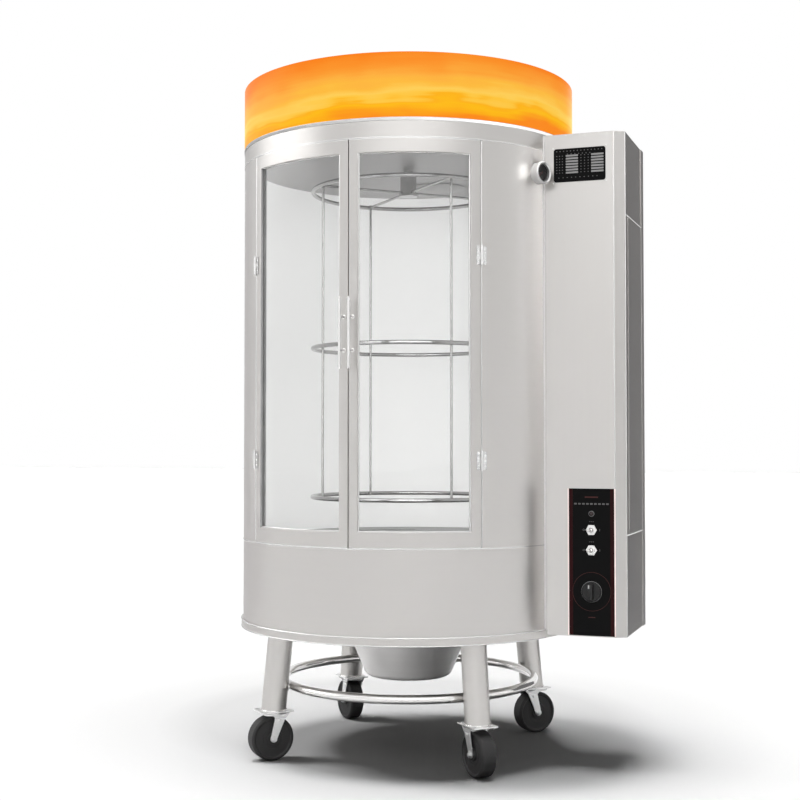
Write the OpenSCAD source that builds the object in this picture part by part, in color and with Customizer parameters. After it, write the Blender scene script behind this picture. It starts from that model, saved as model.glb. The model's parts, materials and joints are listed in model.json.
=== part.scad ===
// Floor-standing rotisserie oven: an insulated drum on four casters, with two curved glass
// doors, a turning three-ring hanging rack, a lit top band and a control box at its side.
// Origin: the drum's axis at floor level. Front is -Y, the control box is at +X, up is +Z.

/* [Drum] */
// Outer radius of the drum
body_r = 400; // [370:1:440]
// Thickness of the sheet-metal skins
skin_t = 1.5; // [1:0.1:2.5]
// Thickness of the flat plates
plate_t = 2; // [1.5:0.1:3]
// Wall from the outer face to the chamber face
wall_t = 20; // [18:0.5:30]
// Height of the base pan's underside above the floor
base_z = 296; // [270:1:330]
// Height of the skirt, from the base pan to the seam under the doors
skirt_h = 209; // [190:1:240]
// Height of the door opening
door_h = 893; // [850:1:960]
// Height of the band above the doors
band_h = 44; // [36:1:60]
// Height of the lit ring on top
light_h = 143; // [120:1:170]

/* [Base] */
// How far the base pan's rim stands out from the drum
pan_lip = 4.4; // [3:0.1:8]
// Height of the base pan's rim
pan_h = 19; // [12:0.5:26]
// Width of the ledge that carries the chamber floor
ledge_w = 14; // [8:0.5:20]
// Radius of the drip bowl's mouth
bowl_r = 156; // [146:1:160]
// Radius of the drip bowl's flat bottom corner
bowl_bottom_r = 108; // [80:1:120]
// Depth of the drip bowl under the base pan
bowl_depth = 126; // [110:1:140]
// Width of the drip bowl's rim
bowl_rim_w = 16; // [10:0.5:20]
// Radius of the rounded corner at the bowl's bottom
bowl_corner_r = 19; // [8:0.5:24]

/* [Doors] */
// Angle of each hinge line from the front
hinge_deg = 42.6; // [38:0.1:46]
// Gap round each door
door_gap = 2; // [1.5:0.1:3]
// Thickness of the doors
door_t = 16; // [14:0.5:17]
// Width of the stile where the doors meet
meet_stile_w = 20.6; // [16:0.1:30]
// Width of the stile at the hinges
hinge_stile_w = 23.4; // [18:0.1:32]
// Height of the bottom rail
bottom_rail_h = 34; // [26:0.5:50]
// Height of the top rail
top_rail_h = 30; // [24:0.5:50]
// Thickness of the glass
glass_t = 4; // [3:0.1:6]
// Depth of the glass groove in the frame
groove_d = 8; // [5:0.1:10]
// Width of the stop that the doors close against
stop_w = 14; // [8:0.5:18]
// Width of the posts beside the opening
post_w = 18; // [12:0.5:30]

/* [Door fittings] */
// Height of the lower hinges above the seam
hinge_low_h = 190; // [120:1:260]
// Height of the upper hinges above the seam
hinge_high_h = 639; // [560:1:760]
// Height of a hinge
hinge_h = 40; // [32:0.5:50]
// Width of one hinge leaf
leaf_w = 12; // [10:0.5:18]
// Thickness of a hinge leaf
leaf_t = 1.6; // [1.2:0.1:2.2]
// Radius of a hinge knuckle
knuckle_r = 3.4; // [3:0.1:4.5]
// Radius of a hinge pin
pin_r = 1.6; // [1.2:0.1:2]
// Height of the handles' middle above the seam
handle_mid_h = 467; // [400:1:540]
// Length of a handle bar
handle_l = 153; // [120:1:220]
// Radius of a handle bar
handle_r = 3.2; // [2.5:0.1:6]
// Distance from the door to the middle of the bar
handle_off = 26; // [22:0.5:36]
// Distance between a handle's posts
handle_pitch = 73; // [60:1:100]
// Distance of a handle from the meeting gap
handle_in = 10; // [9:0.5:14]

/* [Lit ring] */
// How far the lit ring stands out from the drum
light_lip = 1; // [0.5:0.1:12]
// Thickness of the lit ring's shell
shell_t = 3; // [2:0.1:4]
// Space between the shell and the drum that carries the lamps
lamp_space = 20; // [12:0.5:30]
// Height of the lamp strip
strip_h = 12; // [8:0.5:20]
// How far the top cover lies under the ring's rim
cover_drop = 5; // [4:0.5:10]
// Radius of the flue
flue_r = 51; // [40:0.5:60]
// Distance of the flue behind the drum's axis
flue_y = 235; // [225:1:260]
// Height of the flue collar above the top cover
flue_rise = 45; // [30:1:60]

/* [Rack] */
// Radius of the rack's rings
rack_r = 234; // [215:1:260]
// Radius of the ring tube
ring_tube_r = 5; // [4:0.1:7]
// Radius of the rods and spokes
rod_r = 3; // [2.5:0.1:4]
// Height of the bottom ring above the chamber floor
bottom_ring_h = 97.5; // [70:0.5:130]
// Height of the middle ring above the bottom ring
tier_h = 361.5; // [300:0.5:400]
// Drop of the top ring below the ceiling
top_ring_drop = 54; // [44:0.5:80]
// Radius of the hub
hub_r = 20; // [17:0.5:26]
// Length of the hub
hub_l = 50; // [40:0.5:60]
// Radius of the drive shaft
shaft_r = 11; // [9:0.5:13]

/* [Burner] */
// Radius of the burner ring
burner_r = 260; // [240:1:280]
// Width of the burner's casting
burner_w = 40; // [34:1:50]
// Height of the burner's casting
burner_h = 30; // [24:1:40]
// Wall of the burner's casting
burner_t = 6; // [4:0.5:8]
// Distance from the burner's top to the chamber floor
burner_drop = 33; // [25:1:50]

/* [Stand] */
// Distance of the legs' tops inside the drum's radius
leg_inset = 70; // [55:1:90]
// Outward lean of the legs
leg_splay = 5.8; // [2:0.1:8]
// Radius of a leg
leg_r = 29; // [24:0.5:34]
// Wall of a leg
leg_t = 2.5; // [2:0.1:4]
// Height of the brace ring
brace_z = 166; // [140:1:200]
// Radius of the brace ring's tube
brace_tube_r = 10.5; // [8:0.5:14]

/* [Casters] */
// Radius of a wheel
wheel_r = 51; // [40:0.5:55]
// Width of a wheel's tread
wheel_w = 35; // [24:0.5:38]
// Distance from a wheel's top to its fork
wheel_room = 6; // [3:0.1:12]
// Thickness of a fork's plate
fork_t = 3; // [2:0.1:4]
// Length of a caster's top plate, along the drum's radius
foot_l = 78; // [60:1:90]
// Width of a caster's top plate
foot_w = 60; // [50:1:80]
// Distance from the swivel pin to the wheel's middle
trail = 20; // [4:0.5:26]
// Distance of a swivel pin inside its leg's middle
kingpin_inset = 13; // [0:0.5:14]
// Radius of an axle
axle_r = 5; // [4:0.1:6]
// Radius of a swivel pin
kingpin_r = 6; // [5:0.1:8]

/* [Control box] */
// Distance of the box's front face ahead of the drum's axis
box_front = 141; // [120:1:170]
// Distance of the box's back face behind the drum's axis
box_back = 111; // [90:1:150]
// Reach of the box beyond the drum
box_reach = 157; // [140:1:190]
// Height of the box's underside above the base pan's
box_lift = 7; // [2:0.5:20]
// Height of the box
box_h = 1129; // [1050:1:1180]
// Width of the bevel at the front corner
bevel_x = 23; // [12:0.5:30]
// Depth of the bevel at the front corner
bevel_y = 13; // [8:0.5:30]
// Depth of the rear cover's side flange
cover_flange = 32; // [20:1:50]
// Length of the side panel
panel_l = 176; // [140:1:200]
// Height of the side panel
panel_h = 717; // [600:1:800]
// Height of the side panel above the box's underside
panel_lift = 225; // [180:1:280]

/* [Controls] */
// Width of the fascia
fascia_w = 102; // [90:1:120]
// Height of the fascia
fascia_h = 327; // [320:1:400]
// Thickness of the fascia and the info plate
fascia_t = 1.5; // [1:0.1:3]
// Distance of the fascia from the front face's edges
fascia_edge = 2; // [1:0.1:6]
// Height of the knob above the fascia's lower edge
knob_h = 98; // [80:1:120]
// Height of the lower switch above the knob
switch_low_h = 92; // [75:1:110]
// Height of the upper switch above the lower one
switch_pitch = 45; // [36:1:60]
// Height of the lamp above the upper switch
lamp_h = 36; // [26:1:50]
// Radius of the knob
knob_r = 23; // [18:0.5:30]
// Length of the knob
knob_l = 22; // [16:0.5:30]
// Radius of the valve's stem
stem_r = 5; // [3:0.1:6]
// Size of a switch nut across its flats
nut_af = 22; // [16:0.5:26]
// Lean of a switch lever to each side
lever_deg = 13; // [8:0.5:14]
// Radius of the lamp
lamp_r = 5; // [3.5:0.1:8]
// Width of the info plate
info_w = 118; // [80:1:130]
// Height of the info plate
info_h = 76; // [50:1:100]
// Distance of the info plate from the front face's right edge
info_edge = 18; // [10:0.5:24]
// Distance of the info plate below the box's top
info_drop = 33; // [20:0.5:60]

/* [Gauge] */
// Angle of the gauge from the front
gauge_deg = 64.4; // [58:0.1:66]
// Drop of the gauge below the door opening's top
gauge_drop = 59; // [40:1:100]
// Radius of the gauge's case
gauge_r = 23.5; // [20:0.5:26]
// Length of the gauge's case
gauge_l = 20; // [16:0.5:24]
// Distance of the case from the drum
gauge_off = 8; // [5:0.5:12]
// Radius of the gauge's probe
probe_r = 5; // [3:0.5:7]
// Reach of the probe into the chamber
probe_l = 30; // [15:1:60]

/* [Gas] */
// Radius of the inlet nipple
nipple_r = 10.5; // [9:0.5:13]
// Length of the nipple behind the rear cover
nipple_l = 30; // [20:1:40]
// Radius of the gas pipes
pipe_r = 8; // [6:0.5:8.5]

/* [Hidden] */
$fn = 96;

// Clearances
loose = 0.3;
running = 0.05;
hair = 0.1;
bite = 0.5;

// Levels
pan_top = base_z + plate_t;
seam_z = base_z + skirt_h;
head_z = seam_z + door_h;
head_t = 4;
ceil_z = head_z + head_t;
ceil_top = ceil_z + plate_t;
light_z = head_z + band_h;
top_z = light_z + light_h;
cover_z = top_z - cover_drop;
cover_top = cover_z + plate_t;
box_z = base_z + box_lift;
box_top = box_z + box_h;

// Radii of the walls
pan_r = body_r + pan_lip;
skin_in = body_r - skin_t;
inside_r = skin_in - loose;
liner_r = body_r - wall_t;
liner_out = liner_r + skin_t;
shell_r = body_r + light_lip;
shell_in = shell_r - shell_t;
drum_r = shell_in - lamp_space;
strip_t = 3;
flange_in_r = drum_r - 14;
flue_in_r = flue_r - skin_t;
flue_flange_w = 9;

// Door angles and levels
function arc_deg(mm) = mm / body_r * 180 / PI;
gap_deg = arc_deg(door_gap / 2);
edge_deg = hinge_deg + gap_deg;
post_deg = edge_deg + arc_deg(post_w);
leaf_a0 = gap_deg;
leaf_a1 = hinge_deg - gap_deg;
door_in = body_r - door_t;
door_z0 = seam_z + door_gap;
door_z1 = head_z - door_gap;
stop_out = door_in - bite;
win_a0 = leaf_a0 + arc_deg(meet_stile_w);
win_a1 = leaf_a1 - arc_deg(hinge_stile_w);
win_z0 = door_z0 + bottom_rail_h;
win_z1 = door_z1 - top_rail_h;
glass_in = body_r - door_t / 2 - glass_t / 2;
glass_out = glass_in + glass_t;
groove_deg = arc_deg(groove_d);

// Hinges
leaf_seat = 0.25;
pin_off = knuckle_r + loose;
leaf_y = leaf_seat - pin_off;
knuckle_l = hinge_h / 3;
knuckle_gap = 0.3;
knuckle_room = knuckle_r + bite;
pin_head_r = knuckle_r - 0.6;
pin_head_t = 1.5;
hinge_levels = [seam_z + hinge_low_h, seam_z + hinge_high_h];

// Rack
rod_ring_r = rack_r - ring_tube_r - rod_r;
top_ring_z = ceil_z - top_ring_drop;
bottom_ring_z = seam_z + bottom_ring_h;
ring_levels = [bottom_ring_z, bottom_ring_z + tier_h, top_ring_z];
hub_z = top_ring_z - rod_r * 3;
hub_flange_r = hub_r + 3;
hub_flange_t = 6;
shaft_end_z = hub_z + hub_l / 2;
corner_angles = [45, 135, 225, 315];

// Drive
bearing_r = shaft_r + 9;
bearing_flange_r = bearing_r + 14;
bearing_flange_t = 6;
bearing_top = ceil_top + bearing_flange_t;
collar_r = shaft_r + 5;
collar_t = 8;
motor_w = 110;
motor_d = 90;
motor_h = 72;
motor_can_r = 34;
motor_can_l = 108;
motor_bore_z = ceil_top + motor_h - 14;

// Burner and gas
burner_top = seam_z - burner_drop;
burner_z = burner_top - burner_h;
burner_in = burner_r - burner_w / 2;
burner_out = burner_r + burner_w / 2;
slot_w = 2;
feed_y = 110;
feed_x = sqrt(burner_r * burner_r - feed_y * feed_y);
feed_r = pipe_r + 2;
foot_post_r = 6;
nipple_flange_r = nipple_r + 4;
nipple_flange_t = 4;

// Bowl
bowl_t = 2;
bowl_rim_r = bowl_r + bowl_rim_w;
bowl_hole_r = bowl_r + 3;
floor_hole_r = bowl_rim_r + 6;
bowl_z = base_z - bowl_depth;

// Stand
leg_top_r = body_r - leg_inset;
fork_z = 2 * wheel_r + wheel_room;
foot_gap = loose;
foot_z = fork_z + fork_t + foot_gap;
foot_t = 3;
foot_top = foot_z + foot_t;
function leg_at(z) = leg_top_r + (base_z - z) * tan(leg_splay);
foot_at = leg_at(foot_top);
kingpin_at = foot_at - kingpin_inset;
brace_r = leg_at(brace_z) - leg_r / cos(leg_splay) - brace_tube_r - hair;

// Casters
hub_w = wheel_w + 3;
arm_x = hub_w / 2 + 0.4;
arm_top_w = 28;
arm_end_r = 8;
axle_head_t = 3;
kingpin_head_r = 9;
kingpin_head_t = 4;
rim_r = wheel_r - 9;
rim_recess = 3;
wheel_edge = 3;
slot_l = 14;
slot_r = 4;

// Control box
box_side = body_r + box_reach;
front_edge_x = box_side - bevel_x;
bevel_deg = atan(bevel_y / bevel_x);
box_root_x = sqrt(body_r * body_r - box_front * box_front) - 30;
shell_back = box_back - plate_t;
box_bend_front = skin_t * tan(bevel_deg / 2);
box_bend_side = skin_t * tan((90 - bevel_deg) / 2);
cover_side = box_side + loose;
panel_back = shell_back + plate_t - cover_flange;

// Controls
fascia_x0 = front_edge_x - fascia_edge - fascia_w;
fascia_z0 = box_z + fascia_edge;
control_x = fascia_x0 + fascia_w / 2;
knob_z = fascia_z0 + knob_h;
switch_low_z = knob_z + switch_low_h;
switch_high_z = switch_low_z + switch_pitch;
lamp_z = switch_high_z + lamp_h;
face_y = box_front + fascia_t;
knob_gap = 1;
knob_base_l = 9;
knob_grip_w = 10;
stem_l = knob_l - 4;
bushing_r = 6;
bushing_l = 8;
bushing_bore = 4.5;
ball_r = bushing_bore - hair;
ball_y = face_y + 5;
lever_l = 17;
lever_r0 = 1.7;
lever_r1 = 2.8;
nut_t = 3.5;
switch_w = 28;
switch_d = 26;
switch_h = 18;
valve_w = 44;
valve_d = 50;
valve_y = box_front - skin_t - valve_d - 4;
info_x0 = front_edge_x - info_edge - info_w;
info_z0 = box_top - info_drop - info_h;
info_corner = 6;

// Gauge
gauge_z = head_z - gauge_drop;
case_back = body_r + gauge_off;
case_front = case_back + gauge_l;
case_wall = 3;
dial_at = case_back + 9;
lip_t = 2.5;
lip_w = 1;
gauge_glass_t = 1.8;
needle_at = dial_at + 1.3;
needle_t = 2;
needle_l = 15;
needle_tail = 6;
needle_w = 1.6;
needle_hub_r = 2.4;
pivot_r = 0.8;
needle_rest = -135;

// Rear cover fittings
screw_r = 2;
screw_head_r = 4;
screw_head_t = 2;
screw_l = 8;
screw_edge = 14;
screw_rows = 5;
gland_z = box_z + 36;
gland_r = 9;
gland_bore = 4.5;
gland_nut_af = 26;
gland_nut_t = 6;
gland_l = 20;

STEEL = "#c9c6c1";
DARK_STEEL = "#77757a";
LINER = "#e4e2df";
CHROME = "#dedfe2";
BLACK = "#1c1c1e";
AMBER = "#ff9a20";
PALE = "#f4efe2";
GLASS = "#cfe3e8";
IRON = "#4c4a49";
BRASS = "#c8a24a";
WOOL = "#d8cfae";

// Ring of rectangular section round the drum's axis
module ring(r_in, r_out, z0, z1) {
    rotate_extrude()
        translate([r_in, z0])
            square([r_out - r_in, z1 - z0]);
}

// Part of such a ring, between two angles from the front towards +X
module sector(r_in, r_out, z0, z1, a0, a1) {
    rotate([0, 0, a0 - 90])
        rotate_extrude(angle = a1 - a0)
            translate([r_in, z0])
                square([r_out - r_in, z1 - z0]);
}

// Round tube bent into a ring
module hoop(r, tube_r, z) {
    translate([0, 0, z])
        rotate_extrude()
            translate([r, 0])
                circle(r = tube_r);
}

// Round rod that points to the front, between two distances from the axis
module forward(r, y0, y1, r_end = -1) {
    translate([0, -y0, 0])
        rotate([90, 0, 0])
            cylinder(r1 = r, r2 = r_end < 0 ? r : r_end, h = y1 - y0);
}

// Hexagonal nut that points to the front
module forward_nut(across_flats, y0, y1) {
    translate([0, -y0, 0])
        rotate([90, 0, 0])
            cylinder(r = across_flats / sqrt(3), h = y1 - y0, $fn = 6);
}

// Places its children at each corner of the stand
module at_corners() {
    for (a = corner_angles) rotate([0, 0, a]) children();
}

// Places its children at the gauge
module at_gauge() {
    rotate([0, 0, gauge_deg])
        translate([0, 0, gauge_z])
            children();
}

// Base, skirt and walls
module base_pan() {
    color(STEEL) {
        ring(bowl_hole_r, pan_r, base_z, pan_top);
        ring(body_r + loose, pan_r, base_z, base_z + pan_h);
    }
}

module lower_skirt() {
    ledge_top = seam_z - plate_t;
    color(STEEL)
        difference() {
            union() {
                ring(skin_in, body_r, pan_top, seam_z);
                ring(body_r - ledge_w, skin_in + skin_t / 2, ledge_top - plate_t, ledge_top);
            }
            translate([body_r - wall_t * 2, -feed_y, knob_z])
                rotate([0, 90, 0])
                    cylinder(r = pipe_r + 1, h = wall_t * 3);
        }
}

module gauge_hole() {
    at_gauge() forward(probe_r + bite, liner_r - wall_t, body_r + wall_t);
}

module outer_wall() {
    color(STEEL)
        difference() {
            sector(skin_in, body_r, seam_z, head_z, edge_deg, 360 - edge_deg);
            gauge_hole();
        }
}

module inner_liner() {
    color(LINER)
        difference() {
            sector(liner_r, liner_out, seam_z, ceil_z, post_deg + gap_deg, 360 - post_deg - gap_deg);
            gauge_hole();
        }
}

module insulation() {
    color(WOOL)
        difference() {
            sector(liner_out + loose, inside_r, seam_z, ceil_z, post_deg + gap_deg,
                360 - post_deg - gap_deg);
            gauge_hole();
        }
}

module door_jamb() {
    clear_deg = edge_deg - arc_deg(stop_w);
    color(STEEL)
        difference() {
            sector(liner_r, inside_r, seam_z, ceil_z, -post_deg, post_deg);
            sector(stop_out, body_r, seam_z - 1, head_z, -edge_deg, edge_deg);
            sector(liner_r - 1, body_r, seam_z + stop_w, head_z - stop_w, -clear_deg, clear_deg);
        }
}

module chamber_floor() {
    slot_half = burner_w / 4;
    color(DARK_STEEL)
        difference() {
            ring(floor_hole_r, inside_r, seam_z - plate_t, seam_z);
            for (a = corner_angles)
                sector(burner_r - slot_half, burner_r + slot_half, seam_z - 2 * plate_t,
                    seam_z + plate_t, a - 30, a + 30);
        }
}

module ceiling_plate() {
    color(DARK_STEEL)
        difference() {
            ring(bearing_r + hair, inside_r, ceil_z, ceil_top);
            translate([0, flue_y, ceil_z - plate_t])
                cylinder(r = flue_in_r, h = 3 * plate_t);
        }
}

// Lit ring and top
module top_band() {
    color(STEEL) {
        ring(skin_in, body_r, head_z, light_z);
        ring(flange_in_r, shell_r, light_z - plate_t, light_z);
    }
}

module light_shell() {
    color(AMBER) ring(shell_in, shell_r, light_z, top_z);
}

module light_drum() {
    color(PALE) ring(drum_r - skin_t, drum_r, light_z, cover_z);
}

module lamp_strip() {
    strip_z = (light_z + cover_z - strip_h) / 2;
    color("white") ring(drum_r + loose, drum_r + loose + strip_t, strip_z, strip_z + strip_h);
}

module top_cover() {
    color(STEEL)
        difference() {
            translate([0, 0, cover_z])
                cylinder(r = shell_in - loose, h = plate_t);
            translate([0, flue_y, cover_z - plate_t])
                cylinder(r = flue_r + loose, h = 3 * plate_t);
        }
}

module flue_pipe() {
    color(STEEL)
        translate([0, flue_y, 0]) {
            ring(flue_in_r, flue_r, ceil_top, cover_top + flue_rise);
            ring(flue_in_r, flue_r + flue_flange_w, cover_top, cover_top + plate_t);
        }
}

// Drive
module gear_motor() {
    well_h = bearing_flange_t + collar_t + 3;
    can_z = ceil_top + motor_can_r + 4;
    color("#5d6a72")
        difference() {
            union() {
                translate([-motor_w / 2, -motor_d / 2, ceil_top])
                    cube([motor_w, motor_d, motor_h]);
                translate([0, 0, can_z])
                    forward(motor_can_r, motor_d / 2 - 1, motor_d / 2 + motor_can_l);
            }
            translate([0, 0, ceil_top - 1])
                cylinder(r = bearing_flange_r + 2, h = well_h + 1);
            translate([0, 0, ceil_top])
                cylinder(r = shaft_r + loose, h = motor_bore_z - ceil_top);
        }
}

module shaft_bearing() {
    color(CHROME) {
        ring(shaft_r + running, bearing_r, ceil_z, bearing_top);
        ring(shaft_r + running, bearing_flange_r, ceil_top, bearing_top);
    }
}

module drive_shaft() {
    color(CHROME) {
        translate([0, 0, shaft_end_z])
            cylinder(r = shaft_r, h = motor_bore_z - 4 - shaft_end_z);
        translate([0, 0, bearing_top + hair])
            cylinder(r = collar_r, h = collar_t);
    }
}

// Rack
module rack_spider() {
    color(CHROME)
        difference() {
            union() {
                translate([0, 0, hub_z]) cylinder(r = hub_r, h = hub_l);
                translate([0, 0, hub_z]) cylinder(r = hub_flange_r, h = hub_flange_t);
                at_corners()
                    translate([0, 0, top_ring_z])
                        forward(rod_r, hub_r / 2, rod_ring_r - rod_r);
            }
            translate([0, 0, shaft_end_z])
                cylinder(r = shaft_r + running, h = hub_l);
        }
}

module rack_rings() {
    color(CHROME)
        for (z = ring_levels) hoop(rack_r, ring_tube_r, z);
}

module rack_rods() {
    low = bottom_ring_z - ring_tube_r;
    high = top_ring_z + ring_tube_r;
    color(CHROME)
        at_corners()
            translate([0, -rod_ring_r, low])
                cylinder(r = rod_r, h = high - low);
}

// Burner and gas
module burner_ring() {
    color(IRON) {
        difference() {
            union() {
                ring(burner_in, burner_out, burner_z, burner_top);
                translate([feed_x, -feed_y, knob_z - feed_r])
                    cylinder(r = feed_r, h = burner_z - knob_z + feed_r + 1);
            }
            ring(burner_in + burner_t, burner_out - burner_t, burner_z + burner_t,
                burner_top - burner_t);
            for (a = corner_angles)
                sector(burner_r - slot_w / 2, burner_r + slot_w / 2, burner_top - burner_t - 1,
                    burner_top + 1, a - 30, a + 30);
        }
        for (a = [0, 120, 240])
            rotate([0, 0, a])
                translate([0, -burner_r, pan_top])
                    cylinder(r = foot_post_r, h = burner_z - pan_top + 1);
    }
}

module gas_pipes() {
    pipe_x = feed_x + feed_r;
    valve_x = control_x - valve_w / 2;
    flange_end = box_back + nipple_flange_t;
    color(BRASS) {
        translate([pipe_x, -feed_y, knob_z])
            rotate([0, 90, 0])
                cylinder(r = pipe_r, h = valve_x - pipe_x);
        translate([control_x, 0, knob_z]) {
            forward(pipe_r, -flange_end, valve_y);
            forward(nipple_flange_r, -flange_end, -box_back);
            forward(nipple_r, -flange_end - nipple_l, -flange_end);
        }
    }
}

module gas_valve() {
    color(BRASS)
        translate([control_x, 0, knob_z]) {
            translate([-valve_w / 2, -valve_y - valve_d, -valve_w / 2])
                cube([valve_w, valve_d, valve_w]);
            forward(stem_r, valve_y, face_y + knob_gap + stem_l);
        }
}

// Stand
module legs() {
    color(STEEL)
        at_corners()
            intersection() {
                translate([0, -leg_top_r, base_z])
                    rotate([-leg_splay, 0, 0])
                        translate([0, 0, -base_z])
                            difference() {
                                cylinder(r = leg_r, h = 2 * base_z);
                                translate([0, 0, -1])
                                    cylinder(r = leg_r - leg_t, h = 2 * base_z + 2);
                            }
                translate([-2 * leg_r, -leg_top_r - 4 * leg_r, foot_top])
                    cube([4 * leg_r, 8 * leg_r, base_z - foot_top]);
            }
}

module brace_ring() {
    color(CHROME) hoop(brace_r, brace_tube_r, brace_z);
}

module caster_plates() {
    slot_x = foot_w / 2 - slot_r - 3;
    slot_y = foot_l / 2 - slot_l / 2 - 3;
    slot_run = slot_l / 2 - slot_r;
    color(CHROME)
        at_corners()
            translate([0, -foot_at, foot_z])
                difference() {
                    translate([-foot_w / 2, -foot_l / 2, 0])
                        cube([foot_w, foot_l, foot_t]);
                    translate([0, kingpin_inset, -1])
                        cylinder(r = kingpin_r + running, h = foot_t + 2);
                    for (x = [-slot_x, slot_x], y = [-slot_y, slot_y]) {
                        translate([x - slot_r, y - slot_run, -1])
                            cube([2 * slot_r, 2 * slot_run, foot_t + 2]);
                        for (end = [-slot_run, slot_run])
                            translate([x, y + end, -1])
                                cylinder(r = slot_r, h = foot_t + 2);
                    }
                }
}

// Casters
module caster_arm(x0) {
    arm_top = fork_z + fork_t;
    translate([x0, 0, 0])
        rotate([90, 0, 90])
            linear_extrude(fork_t)
                polygon([[-arm_top_w / 2, arm_top], [arm_top_w / 2, arm_top],
                    [arm_end_r - trail, wheel_r], [-arm_end_r - trail, wheel_r]]);
    translate([x0, -trail, wheel_r])
        rotate([0, 90, 0])
            cylinder(r = arm_end_r, h = fork_t);
}

module caster_fork(a) {
    arm_out = arm_x + fork_t;
    color(CHROME)
        rotate([0, 0, a])
            translate([0, -kingpin_at, 0]) {
                translate([-arm_out, -arm_top_w / 2, fork_z])
                    cube([2 * arm_out, arm_top_w, fork_t]);
                caster_arm(arm_x);
                caster_arm(-arm_out);
                translate([-arm_out - axle_head_t, -trail, wheel_r])
                    rotate([0, 90, 0])
                        cylinder(r = axle_r, h = 2 * (arm_out + axle_head_t));
                for (x = [-arm_out - axle_head_t, arm_out])
                    translate([x, -trail, wheel_r])
                        rotate([0, 90, 0])
                            cylinder(r = arm_end_r - 1, h = axle_head_t);
                translate([0, 0, fork_z])
                    cylinder(r = kingpin_r, h = foot_top - fork_z + kingpin_head_t);
                translate([0, 0, foot_top + hair])
                    cylinder(r = kingpin_head_r, h = kingpin_head_t - hair);
            }
}

module caster_wheel(a) {
    side = wheel_w / 2;
    hub_side = hub_w / 2;
    core_r = axle_r + 9;
    web = side - rim_recess;
    color(BLACK)
        rotate([0, 0, a])
            translate([0, -kingpin_at - trail, wheel_r])
                rotate([0, 90, 0])
                    rotate_extrude()
                        polygon([[axle_r + running, -hub_side], [core_r, -hub_side], [core_r, -web],
                            [rim_r, -web], [rim_r + rim_recess, -side],
                            [wheel_r - wheel_edge, -side], [wheel_r, wheel_edge - side],
                            [wheel_r, side - wheel_edge], [wheel_r - wheel_edge, side],
                            [rim_r + rim_recess, side], [rim_r, web], [core_r, web],
                            [core_r, hub_side], [axle_r + running, hub_side]]);
}

// Drip bowl, a spun pan with a rounded corner at its bottom
module drip_bowl() {
    slope = atan((bowl_depth - bowl_corner_r) / (bowl_r - bowl_bottom_r));
    steps = 6;
    function corner(r) = [for (i = [0 : steps])
        [bowl_bottom_r - bowl_corner_r + r * sin(slope * i / steps),
            bowl_z + bowl_corner_r - r * cos(slope * i / steps)]];
    outer = corner(bowl_corner_r);
    inner = corner(bowl_corner_r - bowl_t);
    color(CHROME)
        rotate_extrude()
            polygon(concat([[0, bowl_z]], outer, [[bowl_r, pan_top], [bowl_rim_r, pan_top],
                [bowl_rim_r, pan_top + bowl_t], [bowl_r - bowl_t, pan_top + bowl_t]],
                [for (i = [0 : steps]) inner[steps - i]], [[0, bowl_z + bowl_t]]));
}

// Control box
module box_holes() {
    translate([control_x, 0, knob_z])
        forward(stem_r + 1, box_front - 2 * skin_t, face_y + 1);
    for (z = [switch_low_z, switch_high_z])
        translate([control_x, 0, z])
            forward(bushing_r + loose, box_front - 2 * skin_t, face_y + 1);
    translate([control_x, 0, lamp_z])
        forward(lamp_r + loose, box_front - 2 * skin_t, face_y + 1);
}

module drum_cut() {
    translate([0, 0, box_z - 1])
        cylinder(r = body_r + loose, h = box_h + 2);
}

module pan_cut() {
    cylinder(r = pan_r + loose, h = base_z + pan_h + loose);
}

module shell_cut() {
    translate([0, 0, light_z - plate_t - loose])
        cylinder(r = shell_r + loose, h = light_h);
}

module box_shell() {
    in_front = skin_t - box_front;
    in_side = box_side - skin_t;
    color(STEEL)
        difference() {
            translate([0, 0, box_z])
                linear_extrude(box_h)
                    polygon([[box_root_x, -box_front], [front_edge_x, -box_front],
                        [box_side, bevel_y - box_front], [box_side, shell_back],
                        [box_root_x, shell_back]]);
            translate([0, 0, box_z + skin_t])
                linear_extrude(box_h - 2 * skin_t)
                    polygon([[box_root_x - 1, in_front], [front_edge_x - box_bend_front, in_front],
                        [in_side, bevel_y - box_front + box_bend_side], [in_side, shell_back + 1],
                        [box_root_x - 1, shell_back + 1]]);
            drum_cut();
            pan_cut();
            shell_cut();
            box_holes();
        }
}

module at_screws() {
    run = box_h - 2 * screw_edge;
    for (x = [body_r + screw_edge, box_side - screw_edge], i = [0 : screw_rows - 1])
        translate([x, 0, box_z + screw_edge + run * i / (screw_rows - 1)])
            children();
}

module box_rear_cover() {
    color(STEEL)
        difference() {
            union() {
                translate([box_root_x, shell_back, box_z])
                    cube([cover_side + skin_t - box_root_x, plate_t, box_h]);
                translate([cover_side, box_back - cover_flange, box_z])
                    cube([skin_t, cover_flange, box_h]);
            }
            drum_cut();
            pan_cut();
            shell_cut();
            at_screws() forward(screw_r + loose, -box_back - 1, 1 - shell_back);
            translate([control_x, 0, knob_z])
                forward(pipe_r + bite, -box_back - 1, 1 - shell_back);
            translate([control_x, 0, gland_z])
                forward(gland_r + loose, -box_back - 1, 1 - shell_back);
        }
}

module box_side_panel() {
    color(DARK_STEEL)
        translate([box_side, panel_back - panel_l, box_z + panel_lift])
            cube([loose + skin_t / 2, panel_l - loose, panel_h]);
}

module cover_screws() {
    color(CHROME)
        at_screws() {
            forward(screw_head_r, -box_back - screw_head_t, -box_back);
            forward(screw_r, -box_back - 1, screw_l - box_back);
        }
}

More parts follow.
